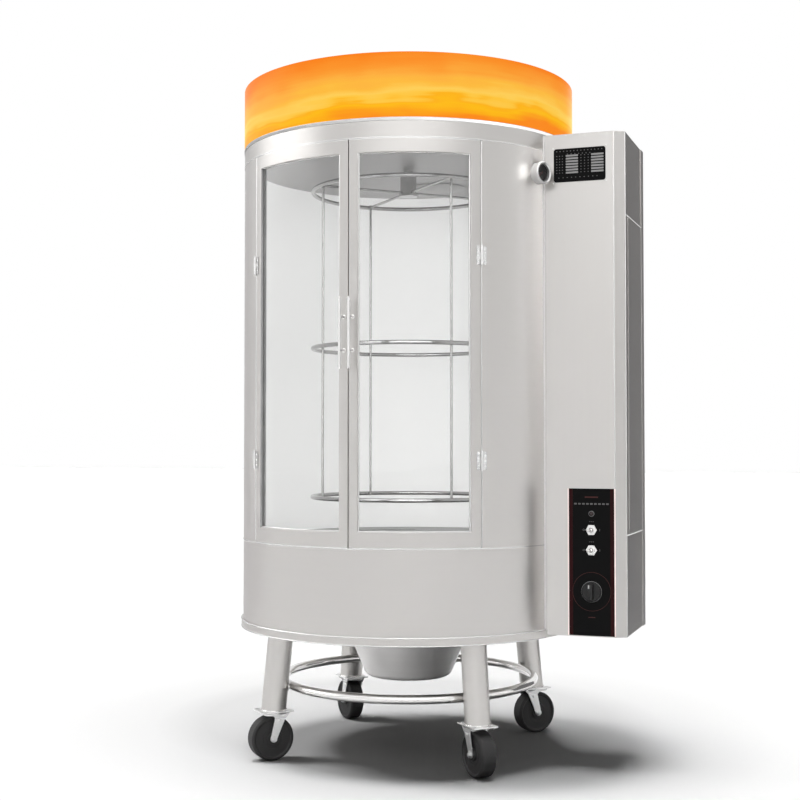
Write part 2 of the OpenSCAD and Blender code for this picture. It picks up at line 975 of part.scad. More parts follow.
module cable_gland() {
    color(BLACK)
        translate([control_x, 0, gland_z])
            difference() {
                union() {
                    forward_nut(gland_nut_af, -box_back - gland_nut_t, -box_back);
                    forward(gland_r, -box_back - gland_l, screw_l - box_back);
                }
                forward(gland_bore, -box_back - gland_l - 1, screw_l - box_back + 1);
            }
}

// Controls
module control_fascia() {
    color(BLACK)
        difference() {
            translate([fascia_x0, -face_y, fascia_z0])
                cube([fascia_w, fascia_t, fascia_h]);
            box_holes();
        }
}

module info_plate() {
    color(BLACK)
        translate([info_x0, 0, info_z0]) {
            translate([info_corner, -face_y, 0])
                cube([info_w - 2 * info_corner, fascia_t, info_h]);
            translate([0, -face_y, info_corner])
                cube([info_w, fascia_t, info_h - 2 * info_corner]);
            for (x = [info_corner, info_w - info_corner], z = [info_corner, info_h - info_corner])
                translate([x, 0, z])
                    forward(info_corner, box_front, face_y);
        }
}

module indicator_lamp() {
    color("#b03028")
        translate([control_x, 0, lamp_z]) {
            forward(lamp_r, box_front - screw_l, face_y + 1.5);
            forward(lamp_r, face_y + 1.5, face_y + 3.5, lamp_r - 2);
        }
}

module toggle_switch(z) {
    translate([control_x, 0, z])
        difference() {
            union() {
                translate([-switch_w / 2, skin_t - box_front, -switch_h / 2])
                    cube([switch_w, switch_d, switch_h]);
                forward(bushing_r, box_front - skin_t - 1, face_y + bushing_l);
                forward_nut(nut_af, face_y, face_y + nut_t);
            }
            forward(bushing_bore, ball_y - 2 * bushing_bore, face_y + bushing_l + 1);
        }
}

module toggle_switches() {
    color(CHROME) {
        toggle_switch(switch_low_z);
        toggle_switch(switch_high_z);
    }
}

module switch_lever(z) {
    color(CHROME)
        translate([control_x, -ball_y, z])
            rotate([0, 0, -lever_deg]) {
                sphere(r = ball_r);
                forward(lever_r0, 0, lever_l, lever_r1);
                translate([0, -lever_l, 0]) sphere(r = lever_r1);
            }
}

module gas_knob() {
    knob_y = face_y + knob_gap;
    color(BLACK)
        translate([control_x, 0, knob_z])
            difference() {
                union() {
                    forward(knob_r, knob_y, knob_y + knob_base_l);
                    intersection() {
                        translate([-knob_grip_w / 2, -knob_y - knob_l, -knob_r])
                            cube([knob_grip_w, knob_l - 1, 2 * knob_r]);
                        forward(knob_r - 1, knob_y, knob_y + knob_l);
                    }
                }
                forward(stem_r + running, knob_y - 1, knob_y + stem_l + hair);
            }
}

// Gauge
module gauge_case() {
    color(CHROME)
        at_gauge() {
            difference() {
                forward(gauge_r, case_back, case_front);
                forward(gauge_r - case_wall, dial_at, case_front - lip_t);
                forward(gauge_r - case_wall - lip_w, dial_at, case_front + 1);
            }
            forward(probe_r + 4, body_r + loose, case_back + 1);
            forward(probe_r, liner_r - probe_l, case_back + 1);
            forward(pivot_r, dial_at - 1, needle_at + needle_t + 1);
        }
}

module gauge_glass() {
    glass_y = case_front - lip_t - hair;
    color(GLASS)
        at_gauge() forward(gauge_r - case_wall - hair, glass_y - gauge_glass_t, glass_y);
}

module gauge_needle() {
    color("#c02020")
        at_gauge()
            rotate([0, needle_rest, 0])
                difference() {
                    union() {
                        forward(needle_hub_r, needle_at, needle_at + needle_t);
                        translate([-needle_w / 2, -needle_at - needle_t, -needle_tail])
                            cube([needle_w, needle_t / 2, needle_tail + needle_l]);
                    }
                    forward(pivot_r + running, needle_at - 1, needle_at + needle_t + 1);
                }
}

// Doors, drawn for the right-hand side and mirrored for the left
module left_side() {
    mirror([1, 0, 0]) children();
}

module door_frame() {
    color(STEEL)
        difference() {
            sector(door_in, body_r, door_z0, door_z1, leaf_a0, leaf_a1);
            sector(door_in - 1, body_r + 1, win_z0, win_z1, win_a0, win_a1);
            sector(glass_in - hair, glass_out + hair, win_z0 - groove_d, win_z1 + groove_d,
                win_a0 - groove_deg, win_a1 + groove_deg);
        }
}

module door_glass() {
    fit_deg = arc_deg(loose);
    color(GLASS, 0.35)
        sector(glass_in, glass_out, win_z0 - groove_d, win_z1 + groove_d - bite,
            win_a0 - groove_deg + fit_deg, win_a1 + groove_deg - fit_deg);
}

module door_handle() {
    handle_z = seam_z + handle_mid_h;
    bar_y = body_r + handle_off;
    color(CHROME)
        rotate([0, 0, arc_deg(handle_in)]) {
            translate([0, -bar_y, handle_z - handle_l / 2])
                cylinder(r = handle_r, h = handle_l);
            for (z = [-handle_pitch / 2, handle_pitch / 2])
                translate([0, 0, handle_z + z])
                    forward(handle_r - bite, body_r + hair, bar_y);
        }
}

// Places its children at the right-hand hinge pins, outward being -Y
module at_hinges() {
    rotate([0, 0, hinge_deg])
        translate([0, -body_r - pin_off, 0])
            for (z = hinge_levels) translate([0, 0, z]) children();
}

module knuckle(z0, z1) {
    translate([0, 0, z0])
        difference() {
            cylinder(r = knuckle_r, h = z1 - z0);
            translate([0, 0, -1])
                cylinder(r = pin_r + running, h = z1 - z0 + 2);
        }
}

// One leaf plate on the side given by its sign, with tabs into the knuckles between z0 and z1
module leaf_plate(side) {
    x0 = side > 0 ? knuckle_room : -leaf_w;
    translate([x0, -leaf_y - leaf_t, -hinge_h / 2])
        cube([leaf_w - knuckle_room, leaf_t, hinge_h]);
}

module leaf_tab(side, z0, z1) {
    x0 = side > 0 ? pin_r + bite : -knuckle_room - 1;
    translate([x0, -leaf_y - leaf_t, z0])
        cube([knuckle_room + 1 - pin_r - bite, leaf_t, z1 - z0]);
}

module door_leaves() {
    half = knuckle_l / 2 - knuckle_gap / 2;
    color(CHROME)
        at_hinges() {
            leaf_plate(-1);
            leaf_tab(-1, -half, half);
            knuckle(-half, half);
        }
}

module jamb_leaf_pair() {
    near = knuckle_l / 2 + knuckle_gap / 2;
    far = hinge_h / 2;
    at_hinges() {
        leaf_plate(1);
        for (span = [[near, far], [-far, -near]]) {
            leaf_tab(1, span[0], span[1]);
            knuckle(span[0], span[1]);
        }
    }
}

module jamb_hinge_leaves() {
    color(CHROME) {
        jamb_leaf_pair();
        left_side() jamb_leaf_pair();
    }
}

module hinge_pin_pair() {
    at_hinges() {
        translate([0, 0, -hinge_h / 2]) cylinder(r = pin_r, h = hinge_h);
        translate([0, 0, hinge_h / 2]) cylinder(r = pin_head_r, h = pin_head_t);
        translate([0, 0, -hinge_h / 2 - pin_head_t]) cylinder(r = pin_head_r, h = pin_head_t);
    }
}

module hinge_pins() {
    color(CHROME) {
        hinge_pin_pair();
        left_side() hinge_pin_pair();
    }
}

base_pan();
lower_skirt();
outer_wall();
inner_liner();
insulation();
door_jamb();
chamber_floor();
ceiling_plate();
top_band();
light_shell();
light_drum();
lamp_strip();
top_cover();
flue_pipe();
gear_motor();
shaft_bearing();
burner_ring();
gas_pipes();
legs();
brace_ring();
caster_plates();
box_shell();
box_rear_cover();
box_side_panel();
control_fascia();
info_plate();
indicator_lamp();
toggle_switches();
gas_valve();
gauge_case();
gauge_glass();
jamb_hinge_leaves();
hinge_pins();
cover_screws();
cable_gland();
left_side() door_frame();  // door_frame_left
door_frame();  // door_frame_right
left_side() door_glass();  // door_glass_left
door_glass();  // door_glass_right
left_side() door_handle();  // door_handle_left
door_handle();  // door_handle_right
left_side() door_leaves();  // door_leaves_left
door_leaves();  // door_leaves_right
drive_shaft();
rack_spider();
rack_rings();
rack_rods();
gas_knob();
switch_lever(switch_high_z);  // switch_lever_upper
switch_lever(switch_low_z);  // switch_lever_lower
gauge_needle();
drip_bowl();
caster_fork(-45);  // fork_front_left
caster_fork(45);  // fork_front_right
caster_fork(-135);  // fork_rear_left
caster_fork(135);  // fork_rear_right
caster_wheel(-45);  // wheel_front_left
caster_wheel(45);  // wheel_front_right
caster_wheel(-135);  // wheel_rear_left
caster_wheel(135);  // wheel_rear_right
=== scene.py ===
# Look of the floor-standing rotisserie oven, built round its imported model
import json
import math

import bmesh
import bpy
from mathutils import Matrix, Vector

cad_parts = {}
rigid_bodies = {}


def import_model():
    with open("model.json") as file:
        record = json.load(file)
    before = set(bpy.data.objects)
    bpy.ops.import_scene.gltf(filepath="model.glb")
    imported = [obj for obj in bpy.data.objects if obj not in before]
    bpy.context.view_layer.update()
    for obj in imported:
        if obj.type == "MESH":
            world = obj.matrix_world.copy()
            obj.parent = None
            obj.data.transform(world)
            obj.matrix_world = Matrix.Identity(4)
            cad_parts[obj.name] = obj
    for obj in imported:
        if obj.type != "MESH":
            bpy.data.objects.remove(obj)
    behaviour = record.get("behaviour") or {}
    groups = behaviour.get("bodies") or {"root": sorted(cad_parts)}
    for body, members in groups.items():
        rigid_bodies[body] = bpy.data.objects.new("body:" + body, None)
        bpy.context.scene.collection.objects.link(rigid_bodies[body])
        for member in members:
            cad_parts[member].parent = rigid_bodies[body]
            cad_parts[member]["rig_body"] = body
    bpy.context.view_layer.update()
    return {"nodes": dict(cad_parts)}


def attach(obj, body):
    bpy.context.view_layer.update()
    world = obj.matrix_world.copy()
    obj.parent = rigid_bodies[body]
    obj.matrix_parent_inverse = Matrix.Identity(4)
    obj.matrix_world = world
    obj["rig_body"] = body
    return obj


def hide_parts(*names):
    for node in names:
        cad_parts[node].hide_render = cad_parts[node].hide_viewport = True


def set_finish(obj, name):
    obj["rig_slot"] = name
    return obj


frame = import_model()
nodes = frame["nodes"]
scene = bpy.context.scene
scene.view_settings.view_transform = "Standard"

# Sizes shared with the solids, in millimetres
MM = 0.001
BODY_R = 400
PAN_R = 404.4
BASE_Z = 296
PAN_TOP = 315
SEAM_Z = 505
HEAD_Z = 1398
LIGHT_Z = 1442
TOP_Z = 1585
COVER_TOP = 1582
HINGE_DEG = 42.6
DOOR_Z0 = 507
DOOR_Z1 = 1396
WIN_Z0 = 541
WIN_Z1 = 1366
BOX_FRONT = 141
FACE_Y = 142.5
BOX_BACK = 111
BOX_TOP = 1431
CONTROL_X = 481
KNOB_Z = 403
SWITCH_Z = (495, 540)
LAMP_Z = 576
GAUGE_DEG = 64.4
GAUGE_Z = 1339
LEG_TOP_R = 330
LEG_R = 29
LEAN = math.tan(math.radians(5.8))
BRACE_Z = 166
FOOT_TOP = 114.3
KINGPIN_R = LEG_TOP_R + (BASE_Z - FOOT_TOP) * LEAN - 13
TRAIL = 20
WHEEL_R = 51
WHEEL_SIDE = 17.5
ARM_OUT = 22.4
HANDLE_DEG = 1.43
HANDLE_R = 426
HINGE_Z = (695, 1144)
RACK_R = 229.5
RACK_RING_Z = (602.5, 964, 1348)
FLUE = Vector((0, 235, 0))
UP = Vector((0, 0, 1))
DOWN = -UP
CORNERS = {"front_right": 45, "rear_right": 135, "rear_left": 225, "front_left": 315}


def arc_deg(length):
    """Angle that a length covers on the drum."""
    return math.degrees(length / BODY_R)


GAP_DEG = arc_deg(1)
WIN_A0 = GAP_DEG + arc_deg(20.6)
WIN_A1 = HINGE_DEG - GAP_DEG - arc_deg(23.4)

# Camera, solved from the photograph's perspective
CAMERA_DISTANCE = 3.3229
CAMERA_HEIGHT = 0.73764
CAMERA_AZIMUTH = math.radians(19.1)
CAMERA_PITCH = 0.0304
CAMERA_YAW = 0.0062
CAMERA_LENS = 61.013

to_right = Vector((math.cos(CAMERA_AZIMUTH), math.sin(CAMERA_AZIMUTH), 0))
to_back = Vector((-math.sin(CAMERA_AZIMUTH), math.cos(CAMERA_AZIMUTH), 0))
level = to_back * math.cos(CAMERA_YAW) - to_right * math.sin(CAMERA_YAW)
look = level * math.cos(CAMERA_PITCH) + UP * math.sin(CAMERA_PITCH)
camera = bpy.data.objects.new("camera", bpy.data.cameras.new("camera"))
camera.data.lens = CAMERA_LENS
camera.data.sensor_width = 36
camera.location = -to_back * CAMERA_DISTANCE + UP * CAMERA_HEIGHT
camera.rotation_euler = look.to_track_quat("-Z", "Y").to_euler()
scene.collection.objects.link(camera)
scene.camera = camera


# Materials
class Shader:
    """One procedural material, with short ways to add its nodes."""

    def __init__(self, name, **values):
        self.material = bpy.data.materials.new(name)
        self.material.use_nodes = True
        self.tree = self.material.node_tree
        self.bsdf = self.tree.nodes["Principled BSDF"]
        for socket, value in values.items():
            self.bsdf.inputs[socket.replace("_", " ")].default_value = value

    def node(self, kind, **settings):
        made = self.tree.nodes.new(kind)
        for name, value in settings.items():
            setattr(made, name, value)
        return made

    def join(self, source, target):
        self.tree.links.new(source, target)

    def noise(self, scale, stretch=(1, 1, 1), detail=3):
        """Noise in the object's own metres, stretched along the axes."""
        place = self.node("ShaderNodeTexCoord")
        mapping = self.node("ShaderNodeMapping")
        mapping.inputs["Scale"].default_value = stretch
        noise = self.node("ShaderNodeTexNoise")
        noise.inputs["Scale"].default_value = scale
        noise.inputs["Detail"].default_value = detail
        self.join(place.outputs["Object"], mapping.inputs["Vector"])
        self.join(mapping.outputs["Vector"], noise.inputs["Vector"])
        return noise.outputs["Fac"]

    def along(self, axis, low, high):
        """0 to 1 between two places along an axis."""
        place = self.node("ShaderNodeTexCoord")
        split = self.node("ShaderNodeSeparateXYZ")
        self.join(place.outputs["Object"], split.inputs["Vector"])
        return self.spread(split.outputs[axis], 0, 1, low, high)

    def spread(self, source, low, high, at_low=0.3, at_high=0.7):
        """Maps a value between two levels, and holds it beyond them."""
        spread = self.node("ShaderNodeMapRange")
        spread.inputs["From Min"].default_value = at_low
        spread.inputs["From Max"].default_value = at_high
        spread.inputs["To Min"].default_value = low
        spread.inputs["To Max"].default_value = high
        self.join(source, spread.inputs["Value"])
        return spread.outputs["Result"]

    def colours(self, source, stops):
        """Colour ramp, as pairs of a place from 0 to 1 and a colour."""
        ramp = self.node("ShaderNodeValToRGB")
        while len(ramp.color_ramp.elements) < len(stops):
            ramp.color_ramp.elements.new(0.5)
        for element, (place, colour) in zip(ramp.color_ramp.elements, stops):
            element.position = place
            element.color = (*colour, 1)
        self.join(source, ramp.inputs["Fac"])
        return ramp.outputs["Color"]

    def add(self, first, second, share):
        """First value plus a share of the second."""
        sum_node = self.node("ShaderNodeMath", operation="MULTIPLY_ADD")
        sum_node.inputs[1].default_value = share
        self.join(second, sum_node.inputs[0])
        self.join(first, sum_node.inputs[2])
        return sum_node.outputs["Value"]

    def bump(self, source, strength, distance):
        bump = self.node("ShaderNodeBump")
        bump.inputs["Strength"].default_value = strength
        bump.inputs["Distance"].default_value = distance
        self.join(source, bump.inputs["Height"])
        self.join(bump.outputs["Normal"], self.bsdf.inputs["Normal"])

    def drive(self, socket, source):
        self.join(source, self.bsdf.inputs[socket])


def tinted(colour, share):
    """A colour made lighter or darker."""
    return tuple(min(1, part * share) for part in colour)


def steel(name, colour, roughness, stretch, grain=0.012, smudge=0.02, metal=1):
    """Rolled or brushed metal: grain along one direction, soft smudges, slight waves."""
    shader = Shader(name, Metallic=metal)
    lines = shader.noise(1, stretch, 1)
    cloud = shader.noise(5, (1, 1, 1), 0)
    wave = shader.noise(2.2, (1, 1, 0.5), 0)
    mixed = shader.add(lines, cloud, 0.8)
    low = tinted(colour, 1 - grain)
    high = tinted(colour, 1 + grain)
    shader.drive("Base Color", shader.colours(shader.spread(mixed, 0, 1, 0.2, 1.6), [(0, low), (1, high)]))
    shader.drive("Roughness", shader.spread(cloud, roughness - smudge, roughness + smudge, 0, 1))
    shader.bump(wave, 0.12, 0.002)
    return shader.material


def moulded(name, colour, roughness, grain_scale, depth, **values):
    """Plastic, rubber or paint: slight colour clouds and a fine grain."""
    shader = Shader(name, **values)
    cloud = shader.noise(14)
    grain = shader.noise(grain_scale, (1, 1, 1), 2)
    stops = [(0.3, tinted(colour, 0.85)), (0.7, tinted(colour, 1.15))]
    shader.drive("Base Color", shader.colours(cloud, stops))
    shader.drive("Roughness", shader.spread(cloud, roughness - 0.05, roughness + 0.05))
    shader.bump(grain, 0.2, depth)
    return shader.material


def lit_amber():
    """Amber acrylic lit from behind: deep at the top, pale lower down, with long streaks."""
    shader = Shader("amber_acrylic", Roughness=0.3, IOR=1.45)
    shader.bsdf.inputs["Specular IOR Level"].default_value = 0.06
    rise = shader.along("Z", LIGHT_Z * MM, TOP_Z * MM)
    streak = shader.noise(1, (3, 3, 60), 3)
    patch = shader.noise(1, (7, 7, 14), 2)
    tilt = shader.along("X", -BODY_R * MM, BODY_R * MM)
    place = shader.add(shader.add(rise, shader.spread(streak, -0.5, 0.5, 0, 1), 0.3),
                       shader.spread(patch, -0.5, 0.5, 0, 1), 0.36)
    place = shader.add(place, shader.spread(tilt, 0.09, -0.09, 0, 1), 1)
    glow = [(0, (0.95, 0.25, 0.012)), (0.1, (0.96, 0.4, 0.008)), (0.18, (0.97, 0.5, 0.008)),
            (0.23, (0.96, 0.44, 0.01)), (0.27, (0.97, 0.56, 0.05)), (0.36, (0.97, 0.62, 0.1)),
            (0.48, (0.96, 0.49, 0.05)), (0.62, (0.96, 0.42, 0.05)), (0.76, (0.95, 0.32, 0.03)),
            (1, (0.94, 0.22, 0.01))]
    body = [(0, (0.1, 0.03, 0.002)), (0.5, (0.1, 0.05, 0.004)), (1, (0.1, 0.03, 0.002))]
    shader.drive("Base Color", shader.colours(place, body))
    shader.drive("Emission Color", shader.colours(place, glow))
    shader.bsdf.inputs["Emission Strength"].default_value = 0.96
    return shader.material


def clear_glass(name):
    """Clear pane with a faint uneven tint."""
    shader = Shader(name, IOR=1.3, Roughness=0)
    shader.bsdf.inputs["Transmission Weight"].default_value = 1
    cloud = shader.noise(5, (1, 1, 0.4), 2)
    stops = [(0.3, (0.985, 0.99, 0.99)), (0.7, (0.992, 0.995, 0.994))]
    shader.drive("Base Color", shader.colours(cloud, stops))
    return shader.material


LEVEL_GRAIN = (3, 3, 160)
UPRIGHT_GRAIN = (160, 160, 3)
STEEL = (0.585, 0.569, 0.553)
MATERIALS = {
    "stainless": steel("satin_steel", tinted(STEEL, 0.955), 0.305, LEVEL_GRAIN),
    "stainless_liner": steel("liner_steel", (0.86, 0.86, 0.855), 0.5, LEVEL_GRAIN, 0.01, 0.03, 0.12),
    "dark_panel": steel("panel_steel", tinted(STEEL, 0.96), 0.31, UPRIGHT_GRAIN),
    "insulation": moulded("mineral_wool", (0.62, 0.52, 0.3), 0.9, 160, 0.003),
    "amber": lit_amber(),
    "white_plastic": moulded("white_plastic", (0.82, 0.8, 0.74), 0.4, 300, 0.0004),
    "polished": steel("polished_steel", (0.8, 0.79, 0.78), 0.12, (40, 40, 40), 0.04, 0.04),
    "zinc": steel("zinc_plate", (0.78, 0.78, 0.775), 0.34, (60, 60, 60), 0.06, 0.05),
    "glass": clear_glass("door_glass"),
    "black_gloss": moulded("black_gloss", (0.003, 0.003, 0.0032), 0.34, 500, 0.0002,
                           Specular_IOR_Level=0.08),
    "black_plastic": moulded("black_plastic", (0.03, 0.03, 0.03), 0.42, 500, 0.0004),
    "lamp_red": moulded("lamp_lens", (0.035, 0.02, 0.02), 0.2, 300, 0.0002),
    "needle_red": moulded("needle_red", (0.12, 0.02, 0.015), 0.4, 400, 0.0002),
    "brass": steel("brass", (0.66, 0.46, 0.17), 0.3, (90, 90, 90), 0.08),
    "iron": moulded("cast_iron", (0.07, 0.068, 0.066), 0.65, 220, 0.0012, Metallic=0.6),
    "motor_grey": moulded("motor_paint", (0.1, 0.13, 0.15), 0.5, 260, 0.0006),
    "tyre_black": moulded("tyre_rubber", (0.0145, 0.0138, 0.014), 0.55, 320, 0.0006),
}
UPRIGHT_STEEL = steel("upright_steel", STEEL, 0.31, UPRIGHT_GRAIN)
# Darker copy of the chamber's steel: painted shade on the ceiling and the flue baffle
SHADED_CEILING_STEEL = steel("shaded_ceiling_steel", (0.42, 0.412, 0.41), 0.42, LEVEL_GRAIN, 0.02, 0.04, 0.7)
FLOOR_STEEL = steel("floor_steel", (0.28, 0.276, 0.272), 0.4, (60, 60, 60), 0.06, 0.05)
BOWL_STEEL = steel("bowl_steel", (0.97, 0.955, 0.945), 0.34, LEVEL_GRAIN, 0.03, 0.04, 0.55)
RACK_STEEL = steel("rack_steel", (0.45, 0.445, 0.44), 0.18, (40, 40, 40), 0.04, 0.04)
# Pale half-metal steel: the pale chrome of the hinges, handles, gauge and fork shoulders, and painted
# highlight lines on the seam strips, rim roll, glass beads, door seals, post beads and box folds
CHROME_AND_HIGHLIGHT_STEEL = steel("chrome_and_highlight_steel", (0.95, 0.945, 0.94), 0.22, (60, 60, 60), 0.03, 0.03, 0.6)
# Pale half-metal sealant: a painted highlight along the joint of the box and the drum, where shade would
# fall
PALE_SEALANT_HIGHLIGHT = steel("pale_sealant_highlight", (0.8, 0.79, 0.78), 0.34, (60, 60, 60), 0.03, 0.03, 0.6)
# Grey for the gasket on the left pane's hinge side: painted shade of that reveal
SHADED_GASKET_GREY = moulded("shaded_gasket_grey", (0.58, 0.58, 0.58), 0.5, 300, 0.0002)
# Darker copy of the upright steel: painted shade on the face of the box's bevel
SHADED_FOLD_STEEL = steel("shaded_fold_steel", tinted(STEEL, 0.87), 0.31, UPRIGHT_GRAIN)
MARK_WHITE = moulded("mark_white", (0.85, 0.84, 0.82), 0.45, 300, 0.0001)
MARK_GREY = moulded("mark_grey", (0.13, 0.13, 0.13), 0.45, 300, 0.0001)
MARK_RED = moulded("mark_red", (0.085, 0.03, 0.028), 0.4, 300, 0.0001, Specular_IOR_Level=0.12)
EDGE_RED = moulded("edge_red", (0.026, 0.0025, 0.0035), 0.35, 300, 0.0001, Specular_IOR_Level=0.12)
DIAL_BLACK = moulded("dial_black", (0.045, 0.042, 0.04), 0.5, 300, 0.0001)
MARK_PALE = moulded("mark_pale", (0.42, 0.42, 0.42), 0.45, 300, 0.0001)
KNOB_GREY = moulded("knob_grey", (0.022, 0.022, 0.022), 0.4, 400, 0.0003, Specular_IOR_Level=0.3)
# White for the ring's moulding, partly a painted highlight, and for the beads on the box's side, painted
# highlight lines
WHITE_AND_HIGHLIGHT = moulded("white_and_highlight", (0.95, 0.945, 0.94), 0.35, 300, 0.0001)
TRIM_PINK = steel("trim_pink", (1, 0.84, 0.81), 0.34, (60, 60, 60), 0.02, 0.02, 0.85)

OWN_LOOK = {"ceiling_plate": SHADED_CEILING_STEEL, "chamber_floor": FLOOR_STEEL, "drip_bowl": BOWL_STEEL,
            "gauge_case": CHROME_AND_HIGHLIGHT_STEEL, "shaft_bearing": FLOOR_STEEL}
for name in ("rack_spider", "rack_rings", "rack_rods", "drive_shaft"):
    OWN_LOOK[name] = RACK_STEEL
for name in ("jamb_hinge_leaves", "door_leaves_left", "door_leaves_right", "hinge_pins", "door_handle_left",
             "door_handle_right"):
    OWN_LOOK[name] = CHROME_AND_HIGHLIGHT_STEEL

for node in nodes.values():
    slot = node.data.materials[0].name
    node.data.materials.clear()
    node.data.materials.append(OWN_LOOK.get(node.name, MATERIALS[slot]))
    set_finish(node, slot)


# Light: a wide soft key from above, fill on the object, and a white world
def unseen(thing, *rays):
    """Hides a lamp or a card from some kinds of ray."""
    for kind in rays:
        setattr(thing, "visible_" + kind, False)


def bulb(name, place, power, size):
    """Small round lamp."""
    lamp = bpy.data.objects.new(name, bpy.data.lights.new(name, "POINT"))
    lamp.data.energy = power
    lamp.data.shadow_soft_size = size
    lamp.location = place
    scene.collection.objects.link(lamp)
    return lamp


def sun(name, direction, strength, spread_deg):
    """Lamp with a direction and a spread, at first left out of reflections."""
    lamp = bpy.data.objects.new(name, bpy.data.lights.new(name, "SUN"))
    lamp.data.energy = strength
    lamp.data.angle = math.radians(spread_deg)
    lamp.rotation_euler = direction.to_track_quat("-Z", "Y").to_euler()
    unseen(lamp, "glossy")
    scene.collection.objects.link(lamp)
    return lamp


KEY_STRENGTH = 2.15
KEY_SPREAD = 27
FLOOR_KEY_STRENGTH = 1.15
FLOOR_KEY_SPREAD = 18
FILL_STRENGTH = 1.9
BACK_FILL_STRENGTH = 1.2
FILL_SPREAD = 90
FLOOR_SIZE = 60
# Middle and reach of the painted shade on the floor round the object
PAINTED_SHADE_MIDDLE = to_back * 0.34
PAINTED_SHADE_REACH = (0.54, 1.02)

sun("key", DOWN + to_right * 0.08 - to_back * 0.01, KEY_STRENGTH, KEY_SPREAD)
floor_key = sun("floor_key", DOWN + to_right * 0.7 - to_back * 0.14, FLOOR_KEY_STRENGTH, FLOOR_KEY_SPREAD)
front_fill = sun("front_fill", to_back + to_right * 0.1 + DOWN * 0.5, FILL_STRENGTH, FILL_SPREAD)
back_fill = sun("back_fill", -to_back - to_right * 0.3 + DOWN * 0.5, BACK_FILL_STRENGTH, FILL_SPREAD)


def stage_sheet(name, material, place, width, height):
    """Flat sheet of the set, which isn't part of the object."""
    bm = bmesh.new()
    bmesh.ops.create_grid(bm, x_segments=8, y_segments=8, size=0.5)
    sheet = bpy.data.objects.new(name, bpy.data.meshes.new(name))
    bm.to_mesh(sheet.data)
    bm.free()
    sheet.data.transform(place @ Matrix.Diagonal((width, height, 1, 1)))
    sheet.data.materials.append(material)
    scene.collection.objects.link(sheet)
    return sheet


def pale_floor():
    """Pale matt floor with painted shade, a little greyer round and behind the object, and with little
    bounce.
    """
    shader = Shader("pale_floor", Roughness=0.9)
    place = shader.node("ShaderNodeTexCoord")
    reach = shader.node("ShaderNodeVectorMath", operation="DISTANCE")
    shader.join(place.outputs["Object"], reach.inputs[0])
    reach.inputs[1].default_value = PAINTED_SHADE_MIDDLE
    # Painted shade: the floor's colour greys towards a middle behind the object, with a faint noise
    ring = shader.add(shader.spread(reach.outputs["Value"], 0, 1, *PAINTED_SHADE_REACH), shader.noise(3), 0.02)
    pale = shader.colours(ring, [(0, (0.75,) * 3), (0.28, (0.86,) * 3), (1, (0.95,) * 3)])
    dim = shader.colours(ring, [(0, (0.09,) * 3), (1, (0.11,) * 3)])
    path = shader.node("ShaderNodeLightPath")
    mix = shader.node("ShaderNodeMix", data_type="RGBA")
    shader.join(shader.spread(path.outputs["Diffuse Depth"], 0, 1, 0, 1), mix.inputs["Factor"])
    shader.join(pale, mix.inputs[6])
    shader.join(dim, mix.inputs[7])
    shader.drive("Base Color", mix.outputs[2])
    shader.bsdf.inputs["Specular IOR Level"].default_value = 0
    return shader.material


def grey_card(name, light):
    """Card that metal sees as an even grey."""
    shader = Shader(name, Roughness=1)
    shader.bsdf.inputs["Base Color"].default_value = (0, 0, 0, 1)
    shader.bsdf.inputs["Specular IOR Level"].default_value = 0
    shader.bsdf.inputs["Emission Color"].default_value = (1, 0.98, 0.99, 1)
    shader.bsdf.inputs["Emission Strength"].default_value = light
    return shader.material


floor = stage_sheet("floor", pale_floor(), Matrix(), FLOOR_SIZE, FLOOR_SIZE)
UPRIGHT = Matrix.Rotation(math.radians(90), 4, "X")
LEFT_EDGE = to_right * -0.385
side_place = Matrix.Translation((1.45, 1.1, 1.1)) @ UPRIGHT
cards = [stage_sheet("side_card", grey_card("side_grey", 0.175), side_place, 1.6, 2.3)]
LEFT_CARDS = (("left_card", -156, 1.38, 1.75, 0.72), ("low_card", -124, 0.92, 0.45, 0.85))
for name, turn_deg, width, height, light in LEFT_CARDS:
    turn = math.radians(turn_deg)
    away = to_right * math.sin(turn) - to_back * math.cos(turn)
    spot = LEFT_EDGE + away * 2 + UP * (height / 2)
    place = Matrix.Translation(spot) @ away.to_track_quat("Y", "Z").to_matrix().to_4x4() @ UPRIGHT
    cards.append(stage_sheet(name, grey_card(name, light), place, width, height))
for card in cards:
    unseen(card, "camera", "diffuse", "transmission", "shadow")


def lights_only(lamps, things, state):
    """Lets lamps light only these things, or all but these."""
    group = bpy.data.collections.new("light_group")
    for thing in things:
        group.objects.link(thing)
    for member in group.collection_objects:
        member.light_linking.link_state = state
    for lamp in lamps:
        lamp.light_linking.receiver_collection = group


lights_only((front_fill, back_fill), (floor,), "EXCLUDE")
lights_only((floor_key,), (floor,), "INCLUDE")

# Light inside the chamber, for its liner alone
CHAMBER_POWER = 0.86
CHAMBER_SHARES = ((0.54, 3), (0.95, 1.2), (1.34, 3.1))
chamber_lamps = []
for z, share in CHAMBER_SHARES:
    lamp = bulb("chamber_light", UP * z, CHAMBER_POWER * share, 0.1)
    lamp.data.use_shadow = False
    unseen(lamp, "camera", "glossy", "transmission")
    chamber_lamps.append(lamp)
lights_only(chamber_lamps, (nodes["inner_liner"],), "INCLUDE")

# World, with soft panels that only metal and glass see, in the order that panel() takes
world = bpy.data.worlds.new("studio")
scene.world = world
world.use_nodes = True
AMBIENT = 0.115
OVERHEAD = (0.6, 0.85, 0.9)
PANELS = ((-93, 16, 38, 0.155, 0.215, 1.8), (2, 8, 44, 0.14, 0.22, 1), (88, 5, 14, -0.04, 0.16, 0.2),
          (46, 24, 42, -0.9, -0.8, -0.08), (-156, 16, 28, -0.3, -0.1, -0.3))


